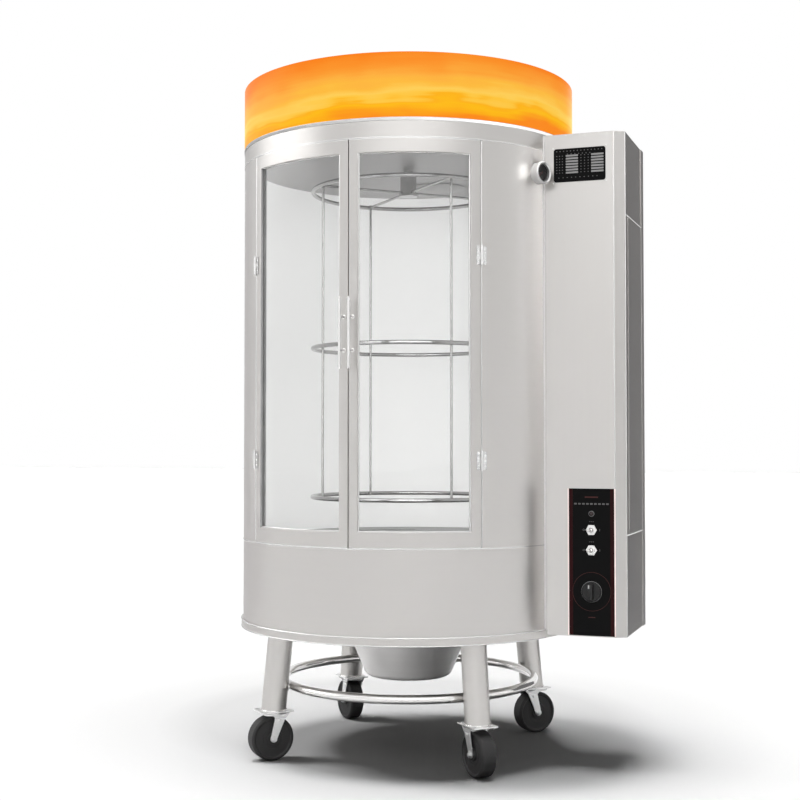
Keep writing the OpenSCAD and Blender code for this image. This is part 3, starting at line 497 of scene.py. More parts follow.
def build_world():
    """White to the camera, metal and glass, with soft bright and dark sides for metal; dim for the rest."""
    tree = world.node_tree
    background = tree.nodes["Background"]
    path = tree.nodes.new("ShaderNodeLightPath")
    place = tree.nodes.new("ShaderNodeTexCoord")

    def dot(direction):
        """How far the ray's direction agrees with this one, -1 to 1."""
        made = tree.nodes.new("ShaderNodeVectorMath")
        made.operation = "DOT_PRODUCT"
        made.inputs[1].default_value = direction
        tree.links.new(place.outputs["Generated"], made.inputs[0])
        return made.outputs["Value"]

    def ease(source, start, full, amount=1):
        """Smooth rise from 0 at one level to an amount at another."""
        made = tree.nodes.new("ShaderNodeMapRange")
        made.interpolation_type = "SMOOTHSTEP"
        made.inputs["From Min"].default_value = start
        made.inputs["From Max"].default_value = full
        made.inputs["To Max"].default_value = amount
        tree.links.new(source, made.inputs["Value"])
        return made.outputs["Result"]

    def combine(operation, first, second):
        """One number from two sockets."""
        made = tree.nodes.new("ShaderNodeMath")
        made.operation = operation
        tree.links.new(first, made.inputs[0])
        tree.links.new(second, made.inputs[1])
        return made.outputs["Value"]

    def panel(turn_deg, full_deg, end_deg, low, high, amount):
        """Soft panel of light for metal, at an angle round from the camera and between two heights."""
        turn = math.radians(turn_deg)
        facing = to_right * math.sin(turn) - to_back * math.cos(turn)
        end = math.cos(math.radians(end_deg))
        full = math.cos(math.radians(full_deg))
        across = ease(dot(facing), end, full, amount)
        return combine("MULTIPLY", across, ease(dot(UP), low, high))

    studio = None
    for light in [ease(dot(UP), *OVERHEAD)] + [panel(*sizes) for sizes in PANELS]:
        total = tree.nodes.new("ShaderNodeMath")
        tree.links.new(light, total.inputs[0])
        if studio is None:
            total.inputs[1].default_value = 1
        else:
            tree.links.new(studio, total.inputs[1])
        studio = total.outputs["Value"]

    def choose(switch, off, on):
        """On where the switch is 1, else off; each a number or a socket."""
        mix = tree.nodes.new("ShaderNodeMix")
        tree.links.new(switch, mix.inputs[0])
        for value, socket in ((off, mix.inputs[2]), (on, mix.inputs[3])):
            if isinstance(value, (int, float)):
                socket.default_value = value
            else:
                tree.links.new(value, socket)
        return mix.outputs[0]

    mirrored = combine("MAXIMUM", path.outputs["Is Glossy Ray"], path.outputs["Is Transmission Ray"])
    seen_straight = tree.nodes.new("ShaderNodeMath")
    seen_straight.operation = "LESS_THAN"
    seen_straight.inputs[1].default_value = 0.5
    tree.links.new(path.outputs["Diffuse Depth"], seen_straight.inputs[0])
    mirrored = combine("MULTIPLY", mirrored, seen_straight.outputs["Value"])
    strength = choose(mirrored, AMBIENT, studio)
    strength = choose(path.outputs["Is Camera Ray"], strength, 1)
    background.inputs["Color"].default_value = (1, 1, 1, 1)
    tree.links.new(strength, background.inputs["Strength"])


build_world()


# Mesh tools, which work in millimetres
def polar(radius, degrees, z):
    """Point by its angle from the front towards +X."""
    turn = math.radians(degrees)
    return Vector((radius * math.sin(turn), -radius * math.cos(turn), z))


def arc(radius, z, a0, a1, step_deg=2):
    """Points round the drum's axis at one height."""
    count = max(2, int(abs(a1 - a0) / step_deg))
    return [polar(radius, a0 + (a1 - a0) * i / count, z) for i in range(count + 1)]


def upright_line(spot, z0, z1, count):
    """Points above a spot, from one height to another."""
    return [spot + UP * (z0 + (z1 - z0) * i / count) for i in range(count + 1)]


def facing_out(radius, degrees, z):
    """Frame at a point of the drum: local Z points out, local Y up."""
    turn = math.radians(degrees)
    out = Vector((math.sin(turn), -math.cos(turn), 0))
    across = UP.cross(out)
    frame_matrix = Matrix((across, UP, out)).transposed().to_4x4()
    frame_matrix.translation = out * radius + UP * z
    return frame_matrix


def facing_front(x, y, z):
    """Frame whose local Z points to the front and local Y up."""
    return Matrix.Translation((x, y, z)) @ Matrix.Rotation(math.radians(90), 4, "X")


def lathe(bm, profile, place=Matrix(), steps=48, wobble=None):
    """Turns pairs of a radius and a height round the frame's Z axis."""
    rings = []
    for radius, height in profile:
        ring = []
        for i in range(steps if radius > 1e-6 else 1):
            turn = 2 * math.pi * i / steps
            reach = radius + (wobble(turn, radius, height) if wobble else 0)
            point = Vector((reach * math.cos(turn), reach * math.sin(turn), height))
            ring.append(bm.verts.new(place @ point))
        rings.append(ring)
    for low, high in zip(rings, rings[1:]):
        for i in range(steps):
            j = (i + 1) % steps
            corner = [low[i % len(low)], low[j % len(low)], high[j % len(high)], high[i % len(high)]]
            corner = list(dict.fromkeys(corner))
            if len(corner) > 2:
                bm.faces.new(corner)


def tube(bm, points, radius, sides=8, closed=False, swell=None):
    """Round bar along a path of points, with its radius changed along it by swell."""
    count = len(points)
    rings = []
    normal = None
    for i, point in enumerate(points):
        before = points[i - 1] if i or closed else point
        after = points[(i + 1) % count] if i + 1 < count or closed else point
        along = (after - before).normalized()
        if normal is None:
            normal = along.orthogonal()
        normal = (normal - along * normal.dot(along)).normalized()
        other = along.cross(normal)
        reach = radius * (swell(i) if swell else 1)
        rings.append([bm.verts.new(point + (normal * math.cos(t) + other * math.sin(t)) * reach)
                      for t in (2 * math.pi * k / sides for k in range(sides))])
    pairs = list(zip(rings, rings[1:]))
    if closed:
        pairs.append((rings[-1], rings[0]))
    for low, high in pairs:
        for k in range(sides):
            n = (k + 1) % sides
            bm.faces.new((low[k], low[n], high[n], high[k]))
    if not closed:
        bm.faces.new(list(reversed(rings[0])))
        bm.faces.new(rings[-1])


def sector(bm, r_in, r_out, z0, z1, a0, a1, step_deg=2):
    """Curved bar of rectangular section round the drum's axis."""
    count = max(1, int(abs(a1 - a0) / step_deg))
    corners = ((r_in, z0), (r_out, z0), (r_out, z1), (r_in, z1))
    rings = []
    for i in range(count + 1):
        degrees = a0 + (a1 - a0) * i / count
        rings.append([bm.verts.new(polar(r, degrees, z)) for r, z in corners])
    for low, high in zip(rings, rings[1:]):
        for k in range(4):
            n = (k + 1) % 4
            bm.faces.new((low[k], low[n], high[n], high[k]))
    bm.faces.new(list(reversed(rings[0])))
    bm.faces.new(rings[-1])


def loft(bm, place, levels, steps=4):
    """Block of rounded rectangles: each level is a height, a width, a length and a corner radius."""
    loops = []
    for z, width, length, corner in levels:
        loop = []
        for sx, sy, start in ((1, 1, 0), (-1, 1, 90), (-1, -1, 180), (1, -1, 270)):
            for k in range(steps + 1):
                turn = math.radians(start + 90 * k / steps)
                x = sx * (width / 2 - corner) + corner * math.cos(turn)
                y = sy * (length / 2 - corner) + corner * math.sin(turn)
                loop.append(bm.verts.new(place @ Vector((x, y, z))))
        loops.append(loop)
    for low, high in zip(loops, loops[1:]):
        for k in range(len(low)):
            n = (k + 1) % len(low)
            bm.faces.new((low[k], low[n], high[n], high[k]))
    bm.faces.new(list(reversed(loops[0])))
    bm.faces.new(loops[-1])


def slab(bm, place, width, length, depth, corner=0.3):
    """Plate with rounded corners and a softened rim, standing up along the frame's Z from 0."""
    inset = min(corner, depth) * 0.3
    loft(bm, place, ((0, width, length, corner), (depth * 0.7, width, length, corner),
                     (depth, width - 2 * inset, length - 2 * inset, corner - inset)), 3)


def cross_screw(bm, place, radius, height):
    """Pan-head screw with a cross recess, standing on the frame's XY plane."""
    steps = 24
    rim = ((radius, 0), (radius, height * 0.3), (radius * 0.93, height * 0.7), (radius * 0.7, height))
    lathe(bm, rim, place, steps)
    bm.verts.ensure_lookup_table()
    top = bm.verts[-steps:]
    arm = radius * 0.5
    half = radius * 0.12
    plus = ((half, half), (half, arm), (-half, arm), (-half, half), (-arm, half), (-arm, -half),
            (-half, -half), (-half, -arm), (half, -arm), (half, -half), (arm, -half), (arm, half))
    upper = [bm.verts.new(place @ Vector((x, y, height))) for x, y in plus]
    lower = [bm.verts.new(place @ Vector((x * 0.8, y * 0.8, height * 0.4))) for x, y in plus]
    edges = []
    for loop in (top, upper):
        for k in range(len(loop)):
            pair = (loop[k], loop[(k + 1) % len(loop)])
            edges.append(bm.edges.get(pair) or bm.edges.new(pair))
    bmesh.ops.triangle_fill(bm, edges=edges, use_beauty=True)
    for k in range(len(plus)):
        n = (k + 1) % len(plus)
        bm.faces.new((upper[k], upper[n], lower[n], lower[k]))
    bm.faces.new(lower)


def hex_head(bm, place, across, height):
    """Hexagon head with a chamfered top on a round washer."""
    corner = across / math.sqrt(3)
    lathe(bm, ((0, 0), (corner * 1.25, 0), (corner * 1.25, 0.8), (corner, 0.9)), place, 24)
    lathe(bm, ((corner, 0.8), (corner, height * 0.85), (corner * 0.86, height), (0, height)), place, 6)


def dome(radius, height, step_deg):
    """Profile of a dome from its rim to its top."""
    turns = [math.radians(a) for a in range(0, 90, step_deg)]
    return [(radius * math.cos(t), height * math.sin(t)) for t in turns] + [(0, height)]


def rivet(bm, place, radius, height):
    """Domed rivet head."""
    lathe(bm, [(radius, -0.2)] + dome(radius, height, 18), place, 20)


def weld(bm, points, radius):
    """Weld seam along a closed path: a bead with even ripples."""
    tube(bm, points, radius, 8, True, lambda i: 1 + 0.22 * math.cos(i * math.pi / 2))


def piece(bm, name, body, slot, material=None, sharp_deg=35):
    """Makes one named piece from a mesh in millimetres, riding on a body."""
    bmesh.ops.recalc_face_normals(bm, faces=bm.faces)
    bm.transform(Matrix.Scale(MM, 4))
    limit = math.radians(sharp_deg)
    for face in bm.faces:
        face.smooth = True
    for edge in bm.edges:
        edge.smooth = not edge.is_manifold or edge.calc_face_angle() < limit
    made = bpy.data.objects.new(name, bpy.data.meshes.new(name))
    bm.to_mesh(made.data)
    bm.free()
    made.data.materials.append(material or MATERIALS[slot])
    scene.collection.objects.link(made)
    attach(made, body)
    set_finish(made, slot)
    return made


# Rounded copies of the sharp-edged solids
def rounded(name, width, segments=2, material=None):
    """Stands for a node with a copy whose edges are softened by a width in millimetres."""
    node = nodes[name]
    bm = bmesh.new()
    bm.from_mesh(node.data)
    bmesh.ops.remove_doubles(bm, verts=bm.verts, dist=1e-6)
    bmesh.ops.dissolve_limit(bm, angle_limit=math.radians(0.2), verts=bm.verts, edges=bm.edges)
    limit = math.radians(32)
    edges = [e for e in bm.edges if e.is_manifold and e.calc_face_angle() > limit]
    bmesh.ops.bevel(bm, geom=edges, offset=width * MM, offset_type="OFFSET", segments=segments, profile=0.5,
                    affect="EDGES", clamp_overlap=True)
    bm.transform(Matrix.Scale(1 / MM, 4))
    slot = node["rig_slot"]
    made = piece(bm, name + "_rounded", node["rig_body"], slot, material or node.data.materials[0], 50)
    stale = made.data.attributes.get("custom_normal")
    if stale:
        made.data.attributes.remove(stale)
    weighted = made.modifiers.new("even_normals", "WEIGHTED_NORMAL")
    weighted.keep_sharp = True
    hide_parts(name)


def shown(name):
    """Object that shows a node: its rounded copy, or the node itself."""
    return bpy.data.objects.get(name + "_rounded") or nodes[name]


for name, width in (("base_pan", 0.6), ("lower_skirt", 0.3), ("outer_wall", 0.3), ("door_jamb", 0.5),
                    ("top_band", 0.3), ("top_cover", 0.4), ("flue_pipe", 0.4), ("legs", 0.5),
                    ("control_fascia", 0.5), ("info_plate", 0.4), ("caster_plates", 0.6),
                    ("jamb_hinge_leaves", 0.35), ("door_leaves_left", 0.35), ("door_leaves_right", 0.35),
                    ("door_handle_left", 0.8), ("door_handle_right", 0.8), ("toggle_switches", 0.5),
                    ("gauge_case", 0.8), ("light_shell", 0.8), ("rack_spider", 0.5), ("cable_gland", 0.5),
                    ("gas_pipes", 0.5)):
    rounded(name, width)
for side in ("left", "right"):
    rounded("door_frame_" + side, 0.9, 3)
for corner in CORNERS:
    rounded("fork_" + corner, 0.5)
    rounded("wheel_" + corner, 1.0, 3)
for name, width in (("box_rear_cover", 0.4), ("box_side_panel", 0.4), ("box_shell", 0.3)):
    rounded(name, width, material=UPRIGHT_STEEL)

# Drum: bright strips along its seams and a bright rolled rim on the pan, painted highlight lines; the
# ring's white moulding, partly a painted highlight; the lap at the back
BOX_DEG0 = 68.9
BOX_DEG1 = 106.6


def round_the_drum(bm, radius, z, thick):
    """Bead round the drum, which stops at the box."""
    tube(bm, arc(radius, z, BOX_DEG1, 360 + BOX_DEG0), thick, 8)


# Bright strips along the seams: painted highlight lines
for name, z0, z1 in (("lower", SEAM_Z - 1.8, SEAM_Z), ("upper", HEAD_Z, HEAD_Z + 1.6)):
    bm = bmesh.new()
    sector(bm, BODY_R - 0.2, BODY_R + 0.7, z0, z1, BOX_DEG1, 360 + BOX_DEG0, 1.5)
    piece(bm, "seam_strip_" + name, "oven", "polished", CHROME_AND_HIGHLIGHT_STEEL)
# Bright rolled rim of the pan: painted highlight lines
bm = bmesh.new()
round_the_drum(bm, PAN_R - 0.6, PAN_TOP - 0.6, 1.6)
round_the_drum(bm, PAN_R - 0.6, BASE_Z + 1.2, 1.3)
piece(bm, "pan_rim_roll", "oven", "polished", CHROME_AND_HIGHLIGHT_STEEL)
bm = bmesh.new()
lathe(bm, ((BODY_R - 0.2, LIGHT_Z - 7.6), (BODY_R + 1, LIGHT_Z - 7.2), (BODY_R + 1.4, LIGHT_Z - 1.6),
           (BODY_R + 0.9, LIGHT_Z - 0.8), (BODY_R - 0.2, LIGHT_Z - 0.6)), steps=180)
moulding = piece(bm, "ring_moulding", "oven", "polished", WHITE_AND_HIGHLIGHT)

LAP_DEG = 180
bm = bmesh.new()
sector(bm, BODY_R - 0.2, BODY_R + 0.9, SEAM_Z + 3, HEAD_Z - 3, LAP_DEG - 2.2, LAP_DEG + 2.2, 0.5)
sector(bm, BODY_R - 0.2, BODY_R + 0.9, PAN_TOP + 2, SEAM_Z - 4, LAP_DEG - 2.2, LAP_DEG + 2.2, 0.5)
piece(bm, "rear_lap", "oven", "stainless")
bm = bmesh.new()
for i in range(12):
    for degrees in (LAP_DEG - 1.3, LAP_DEG + 1.3):
        rivet(bm, facing_out(BODY_R + 0.9, degrees, SEAM_Z + 34 + i * 74.5), 3.4, 1.6)
for i in range(3):
    for degrees in (LAP_DEG - 1.3, LAP_DEG + 1.3):
        rivet(bm, facing_out(BODY_R + 0.9, degrees, PAN_TOP + 24 + i * 69), 3.4, 1.6)
piece(bm, "rear_lap_rivets", "oven", "zinc")

# Top: screws of the cover and the rolled lip of the flue
TOP_SCREW_R = 368
bm = bmesh.new()
for i in range(12):
    cross_screw(bm, Matrix.Translation(polar(TOP_SCREW_R, 15 + i * 30, COVER_TOP - 0.1)), 4, 2.2)
piece(bm, "top_cover_screws", "oven", "zinc")
bm = bmesh.new()
tube(bm, [FLUE + polar(51, a, 1625.4) for a in range(0, 360, 6)], 1.6, 8, True)
tube(bm, [FLUE + polar(51.4, a, COVER_TOP + 3.2) for a in range(0, 360, 6)], 1.4, 8, True)
piece(bm, "flue_lip", "oven", "stainless")
bm = bmesh.new()
for i in range(4):
    cross_screw(bm, Matrix.Translation(FLUE + polar(55.8, 45 + i * 90, 1584)), 2.6, 1.6)
piece(bm, "flue_screws", "oven", "zinc")

# Doors: bright beads round the panes, bright seals and post beads, painted highlight lines; a grey gasket
# on the left pane's hinge side, painted shade; screws in the hinges, handle fittings
LEVEL_BEAD_R = 394.6
UPRIGHT_BEAD_R = 395
GASKET_LAYERS = ((384.4, 389.6), (394.4, 399.5))
SEAL_IN = 396.5
SEAL_OUT = 399.5
LEAF_FACE_R = 401.8
HANDLE_TIPS = ((895.5, -2.6), (1048.5, 2.6))
HANDLE_POST_Z = (935.5, 1008.5)
for side, sign in (("left", -1), ("right", 1)):
    body = "door_" + side
    a0 = sign * WIN_A0
    a1 = sign * WIN_A1
    inset = sign * arc_deg(1)
    # Bright beads round the pane: painted highlight lines
    bm = bmesh.new()
    for z in (WIN_Z0 + 1, WIN_Z1 - 1):
        tube(bm, arc(LEVEL_BEAD_R, z, a0, a1, 1), 1.4, 8)
    # The right door also gets a bright bead on its hinge side, a painted highlight; the left door gets the
    # grey gasket there instead, painted shade
    uprights = [a0 + inset]
    if side == "right":
        uprights.append(a1 - inset)
    for degrees in uprights:
        tube(bm, upright_line(polar(UPRIGHT_BEAD_R, degrees, 0), WIN_Z0, WIN_Z1, 12), 1.8, 8)
    piece(bm, "glass_bead_" + side, body, "white_plastic", CHROME_AND_HIGHLIGHT_STEEL)
    if side == "left":
        bm = bmesh.new()
        for r_in, r_out in GASKET_LAYERS:
            sector(bm, r_in, r_out, WIN_Z0 + 0.5, WIN_Z1 - 0.5, a1 - sign * arc_deg(0.1), a1 - inset, 0.05)
        piece(bm, "pane_gasket", body, "white_plastic", SHADED_GASKET_GREY)
    edge = sign * GAP_DEG
    hinge = sign * (HINGE_DEG - GAP_DEG)
    # Bright seals in the gaps above and below the door: painted highlight lines where the gaps would be in
    # shade
    bm = bmesh.new()
    sector(bm, SEAL_IN, SEAL_OUT, DOOR_Z1 - 0.3, DOOR_Z1 + 1.7, edge, hinge)
    sector(bm, SEAL_IN, SEAL_OUT, DOOR_Z0 - 1.7, DOOR_Z0 + 0.3, edge, hinge)
    piece(bm, "door_seal_" + side, body, "white_plastic", CHROME_AND_HIGHLIGHT_STEEL)
    # Bright bead on the hinge post: a painted highlight line
    bm = bmesh.new()
    post = sign * (HINGE_DEG + arc_deg(0.6))
    tube(bm, upright_line(polar(BODY_R - 0.3, post, 0), DOOR_Z0, DOOR_Z1, 16), 1.2, 8)
    piece(bm, "post_bead_" + side, "oven", "polished", CHROME_AND_HIGHLIGHT_STEEL)
    leaf = sign * (HINGE_DEG - arc_deg(8))
    post = sign * (HINGE_DEG + arc_deg(8))
    bm = bmesh.new()
    fixed = bmesh.new()
    for z in HINGE_Z:
        for shift in (-12, 0, 12):
            cross_screw(bm, facing_out(LEAF_FACE_R, leaf, z + shift), 2.3, 0.9)
            cross_screw(fixed, facing_out(LEAF_FACE_R, post, z + shift), 2.3, 0.9)
    piece(bm, "hinge_screws_" + side, body, "zinc")
    piece(fixed, "hinge_screws_fixed_" + side, "oven", "zinc")
    bm = bmesh.new()
    for z, height in HANDLE_TIPS:
        lathe(bm, dome(3.2, height, 15), Matrix.Translation(polar(HANDLE_R, sign * HANDLE_DEG, z)), 24)
    for z in HANDLE_POST_Z:
        place = facing_out(BODY_R, sign * HANDLE_DEG, z)
        lathe(bm, ((2.7, 0), (4.6, 0), (4.6, 0.8), (3.8, 1.6), (3, 2), (2.7, 3.4)), place, 24)
    piece(bm, "handle_fittings_" + side, body, "polished")

# Gauge: bezel, dial with plain ticks, adjusting stud
gauge = facing_out(0, GAUGE_DEG, GAUGE_Z)
bm = bmesh.new()
lathe(bm, ((23.4, 408.6), (24.2, 409.2), (24.6, 416), (24.8, 421), (25.4, 424), (25.2, 427.6),
           (23.6, 429.4), (22, 429.3), (21.2, 428.4), (21, 426)), gauge, 64)
piece(bm, "gauge_bezel", "oven", "polished", CHROME_AND_HIGHLIGHT_STEEL)
bm = bmesh.new()
lathe(bm, ((19.6, 417.05), (19.4, 417.35), (2.6, 417.35)), gauge, 64)
lathe(bm, ((20.2, 417.2), (20.2, 424)), gauge, 64)
piece(bm, "dial_face", "oven", "black_plastic", DIAL_BLACK)
bm = bmesh.new()
lathe(bm, ((20.2, 421.2), (19.6, 421.4), (19.6, 422.2), (20.2, 422.4)), gauge, 64)
piece(bm, "dial_ring", "oven", "polished", CHROME_AND_HIGHLIGHT_STEEL)
bm = bmesh.new()
for i in range(28):
    turn = math.radians(225 - i * 10)
    long = i % 3 == 0
    reach = 15.6 if long else 16.4
    place = gauge @ Matrix.Translation((reach * math.cos(turn), reach * math.sin(turn), 417.3))
    slab(bm, place @ Matrix.Rotation(turn, 4, "Z"), 4.2 if long else 2.4, 0.9 if long else 0.55, 0.3, 0.2)
piece(bm, "dial_ticks", "oven", "white_plastic", MARK_GREY)
bm = bmesh.new()
stud = gauge @ Matrix.Translation((0, 0, 418)) @ Matrix.Rotation(math.radians(14), 4, "Z")
stud = stud @ Matrix.Rotation(math.radians(90), 4, "Y")
lathe(bm, ((0, 22), (3.2, 22), (3.2, 26), (2.6, 26.6), (2.6, 29), (2, 29.8), (0, 29.8)), stud, 20)
piece(bm, "gauge_stud", "oven", "polished")

# Fascia: edge bars and trim, ring round the knob, plain marks, lamp ring, switch collars
FASCIA_Z0 = 305
FASCIA_Z1 = 632
FASCIA_Z = (FASCIA_Z0 + FASCIA_Z1) / 2
MARK_DEPTH = 0.25
TITLE_Z = 613
ROW_Z = 598
FOOT_MARK_Z = 346


def on_fascia(x, z):
    """Frame on the fascia, by the distance from its middle line and the height."""
    return facing_front(CONTROL_X, -FACE_Y, 0) @ Matrix.Translation((x, z, 0))


bm = bmesh.new()
for x in (434.6, 527.4):
    place = facing_front(x, -FACE_Y + 0.05, FASCIA_Z)
    slab(bm, place, 8.2, FASCIA_Z1 - FASCIA_Z0 - 1.5, MARK_DEPTH, 0.4)
piece(bm, "fascia_edge_bars", "oven", "black_gloss", EDGE_RED)
bm = bmesh.new()
for x in (428.4, 533.4):
    slab(bm, facing_front(x, -BOX_FRONT, FASCIA_Z), 3, FASCIA_Z1 - FASCIA_Z0, 1.3, 0.3)
piece(bm, "fascia_trim", "oven", "white_plastic", TRIM_PINK)
bm = bmesh.new()
lathe(bm, ((42.4, 0), (42.5, 0.25), (43.3, 0.25), (43.4, 0)), on_fascia(0, KNOB_Z), 96)
slab(bm, on_fascia(0, TITLE_Z), 30, 3.2, MARK_DEPTH, 0.8)
slab(bm, on_fascia(0, FOOT_MARK_Z), 16, 1.8, MARK_DEPTH, 0.6)
piece(bm, "fascia_red_marks", "oven", "needle_red", MARK_RED)
bm = bmesh.new()
for i in range(9):
    slab(bm, on_fascia(-36 + i * 9, ROW_Z), 6, 3.6, MARK_DEPTH, 0.8)
for z in SWITCH_Z:
    lathe(bm, ((1.5, 0), (1.6, 0.25), (2.3, 0.25), (2.4, 0)), on_fascia(-17.5, z), 24)
    slab(bm, on_fascia(18.5, z), 1, 5, MARK_DEPTH, 0.3)
    for shift in (-4, 0, 4):
        slab(bm, on_fascia(shift, z + 18.5), 2.4, 1.1, MARK_DEPTH, 0.4)
piece(bm, "fascia_marks", "oven", "white_plastic", MARK_GREY)
bm = bmesh.new()
lathe(bm, ((4.4, 0), (6.6, 0), (6.6, 1), (5.9, 1.7), (5.1, 1.7), (4.8, 1)), on_fascia(0, LAMP_Z), 32)
piece(bm, "lamp_ring", "oven", "zinc", MARK_GREY)
bm = bmesh.new()
for z in SWITCH_Z:
    lathe(bm, ((6.5, 3.4), (8.6, 3.5), (8.4, 4.4), (7.2, 5), (6.2, 5)), on_fascia(0, z), 32)
piece(bm, "switch_collars", "oven", "zinc")

# Info plate: plain bars and dots, rivets at its corners
PLATE_X0 = 398
PLATE_Z0 = 1323
PLATE_W = 118
PLATE_H = 76
PLATE_ROWS = [0.275 + i * 0.084 for i in range(7)]
plate = facing_front(PLATE_X0, -FACE_Y, PLATE_Z0)


def on_plate(across, up):
    """Frame on the info plate, by shares of its width and height."""
    return plate @ Matrix.Translation((across * PLATE_W, up * PLATE_H, 0))


bm = bmesh.new()
for middle in (0.355, 0.845):
    for up in PLATE_ROWS:
        slab(bm, on_plate(middle, up), 28, 4, MARK_DEPTH, 0.4)
piece(bm, "info_plate_bars", "oven", "white_plastic", MARK_PALE)
bm = bmesh.new()
dots = [(0.06 + i * 0.067, 0.92) for i in range(14)]
dots += [(0.27 + i * 0.072, 0.83) for i in range(7)]
dots += [(0.1 + i * 0.082, 0.13) for i in range(10)]
dots += [(across, up) for across in (0.06, 0.115, 0.17, 0.53, 0.6, 0.67) for up in PLATE_ROWS]
for across, up in dots:
    slab(bm, on_plate(across, up), 2.4, 2, MARK_DEPTH, 0.6)
piece(bm, "info_plate_dots", "oven", "white_plastic", MARK_GREY)
bm = bmesh.new()
for across in (-0.012, 1.012):
    for up in (-0.02, 1.02):
        rivet(bm, facing_front(PLATE_X0 + across * PLATE_W, -BOX_FRONT, PLATE_Z0 + up * PLATE_H), 1.8, 1)
piece(bm, "info_plate_rivets", "oven", "zinc")

# Knob: fluted skirt, grip, pointer and ring
knob = facing_front(CONTROL_X, -FACE_Y - 1, KNOB_Z)


def flutes(turn, radius, height):
    """Depth of the flutes round the knob's skirt."""
    return -0.45 * (0.5 + 0.5 * math.cos(turn * 30)) if 2 < height < 7.6 and radius > 20 else 0


bm = bmesh.new()
lathe(bm, ((0, 0), (22.6, 0), (23, 0.6), (23, 1.8), (22.3, 2.4), (21.9, 7.4), (21.2, 8.6), (20.2, 9),
           (19.4, 8.3), (0, 8.3)), knob, 180, wobble=flutes)
loft(bm, knob, ((8.2, 13, 38.6, 5.5), (12, 12.2, 38, 5.4), (18.4, 11.2, 37, 5), (20.8, 9.8, 35.6, 4.4),
                (21.9, 7, 33, 3)), 6)
knob_made = piece(bm, "knob_dressed", "knob", "black_plastic", KNOB_GREY)
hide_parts("gas_knob")
bm = bmesh.new()
slab(bm, knob @ Matrix.Translation((-2.6, 12.6, 21.5)), 3, 8, 0.6, 0.8)
piece(bm, "knob_pointer", "knob", "white_plastic", MARK_WHITE)
bm = bmesh.new()
lathe(bm, ((22.2, 1.6), (22.6, 2.6), (23.1, 2.6), (23.3, 1.6)), knob, 64)
piece(bm, "knob_ring", "knob", "zinc", MARK_PALE)

# Rear cover: screw heads, thread of the inlet
TO_REAR = Matrix.Rotation(math.radians(-90), 4, "X")
COVER_SCREW_X = (414, 543)
COVER_SCREW_Z = [317 + row * 275.25 for row in range(5)]
bm = bmesh.new()
for x in COVER_SCREW_X:
    for z in COVER_SCREW_Z:
        cross_screw(bm, Matrix.Translation((x, BOX_BACK, z)) @ TO_REAR, 4, 2)
heads = piece(bm, "cover_screw_heads", "oven", "zinc")
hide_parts("cover_screws")
bm = bmesh.new()
inlet = Matrix.Translation((CONTROL_X, 0, KNOB_Z)) @ TO_REAR
thread = []
for i in range(11):
    thread += [(10.5, 122 + i * 2), (11.4, 123 + i * 2)]
lathe(bm, [(10, 121)] + thread + [(10.5, 144.4), (9.6, 145)], inlet, 40)
piece(bm, "inlet_thread", "oven", "brass")

# Stand: weld seams at the legs and the brace, cups, shoulders and bolts of the forks, ribs of the wheels
BRACE_WELD_R = 9


def round_leg(degrees, z, radius):
    """Circle round a leg at a height."""
    middle = polar(LEG_TOP_R + (BASE_Z - z) * LEAN, degrees, z)
    return [middle + polar(radius, a, 0) for a in range(0, 360, 4)]


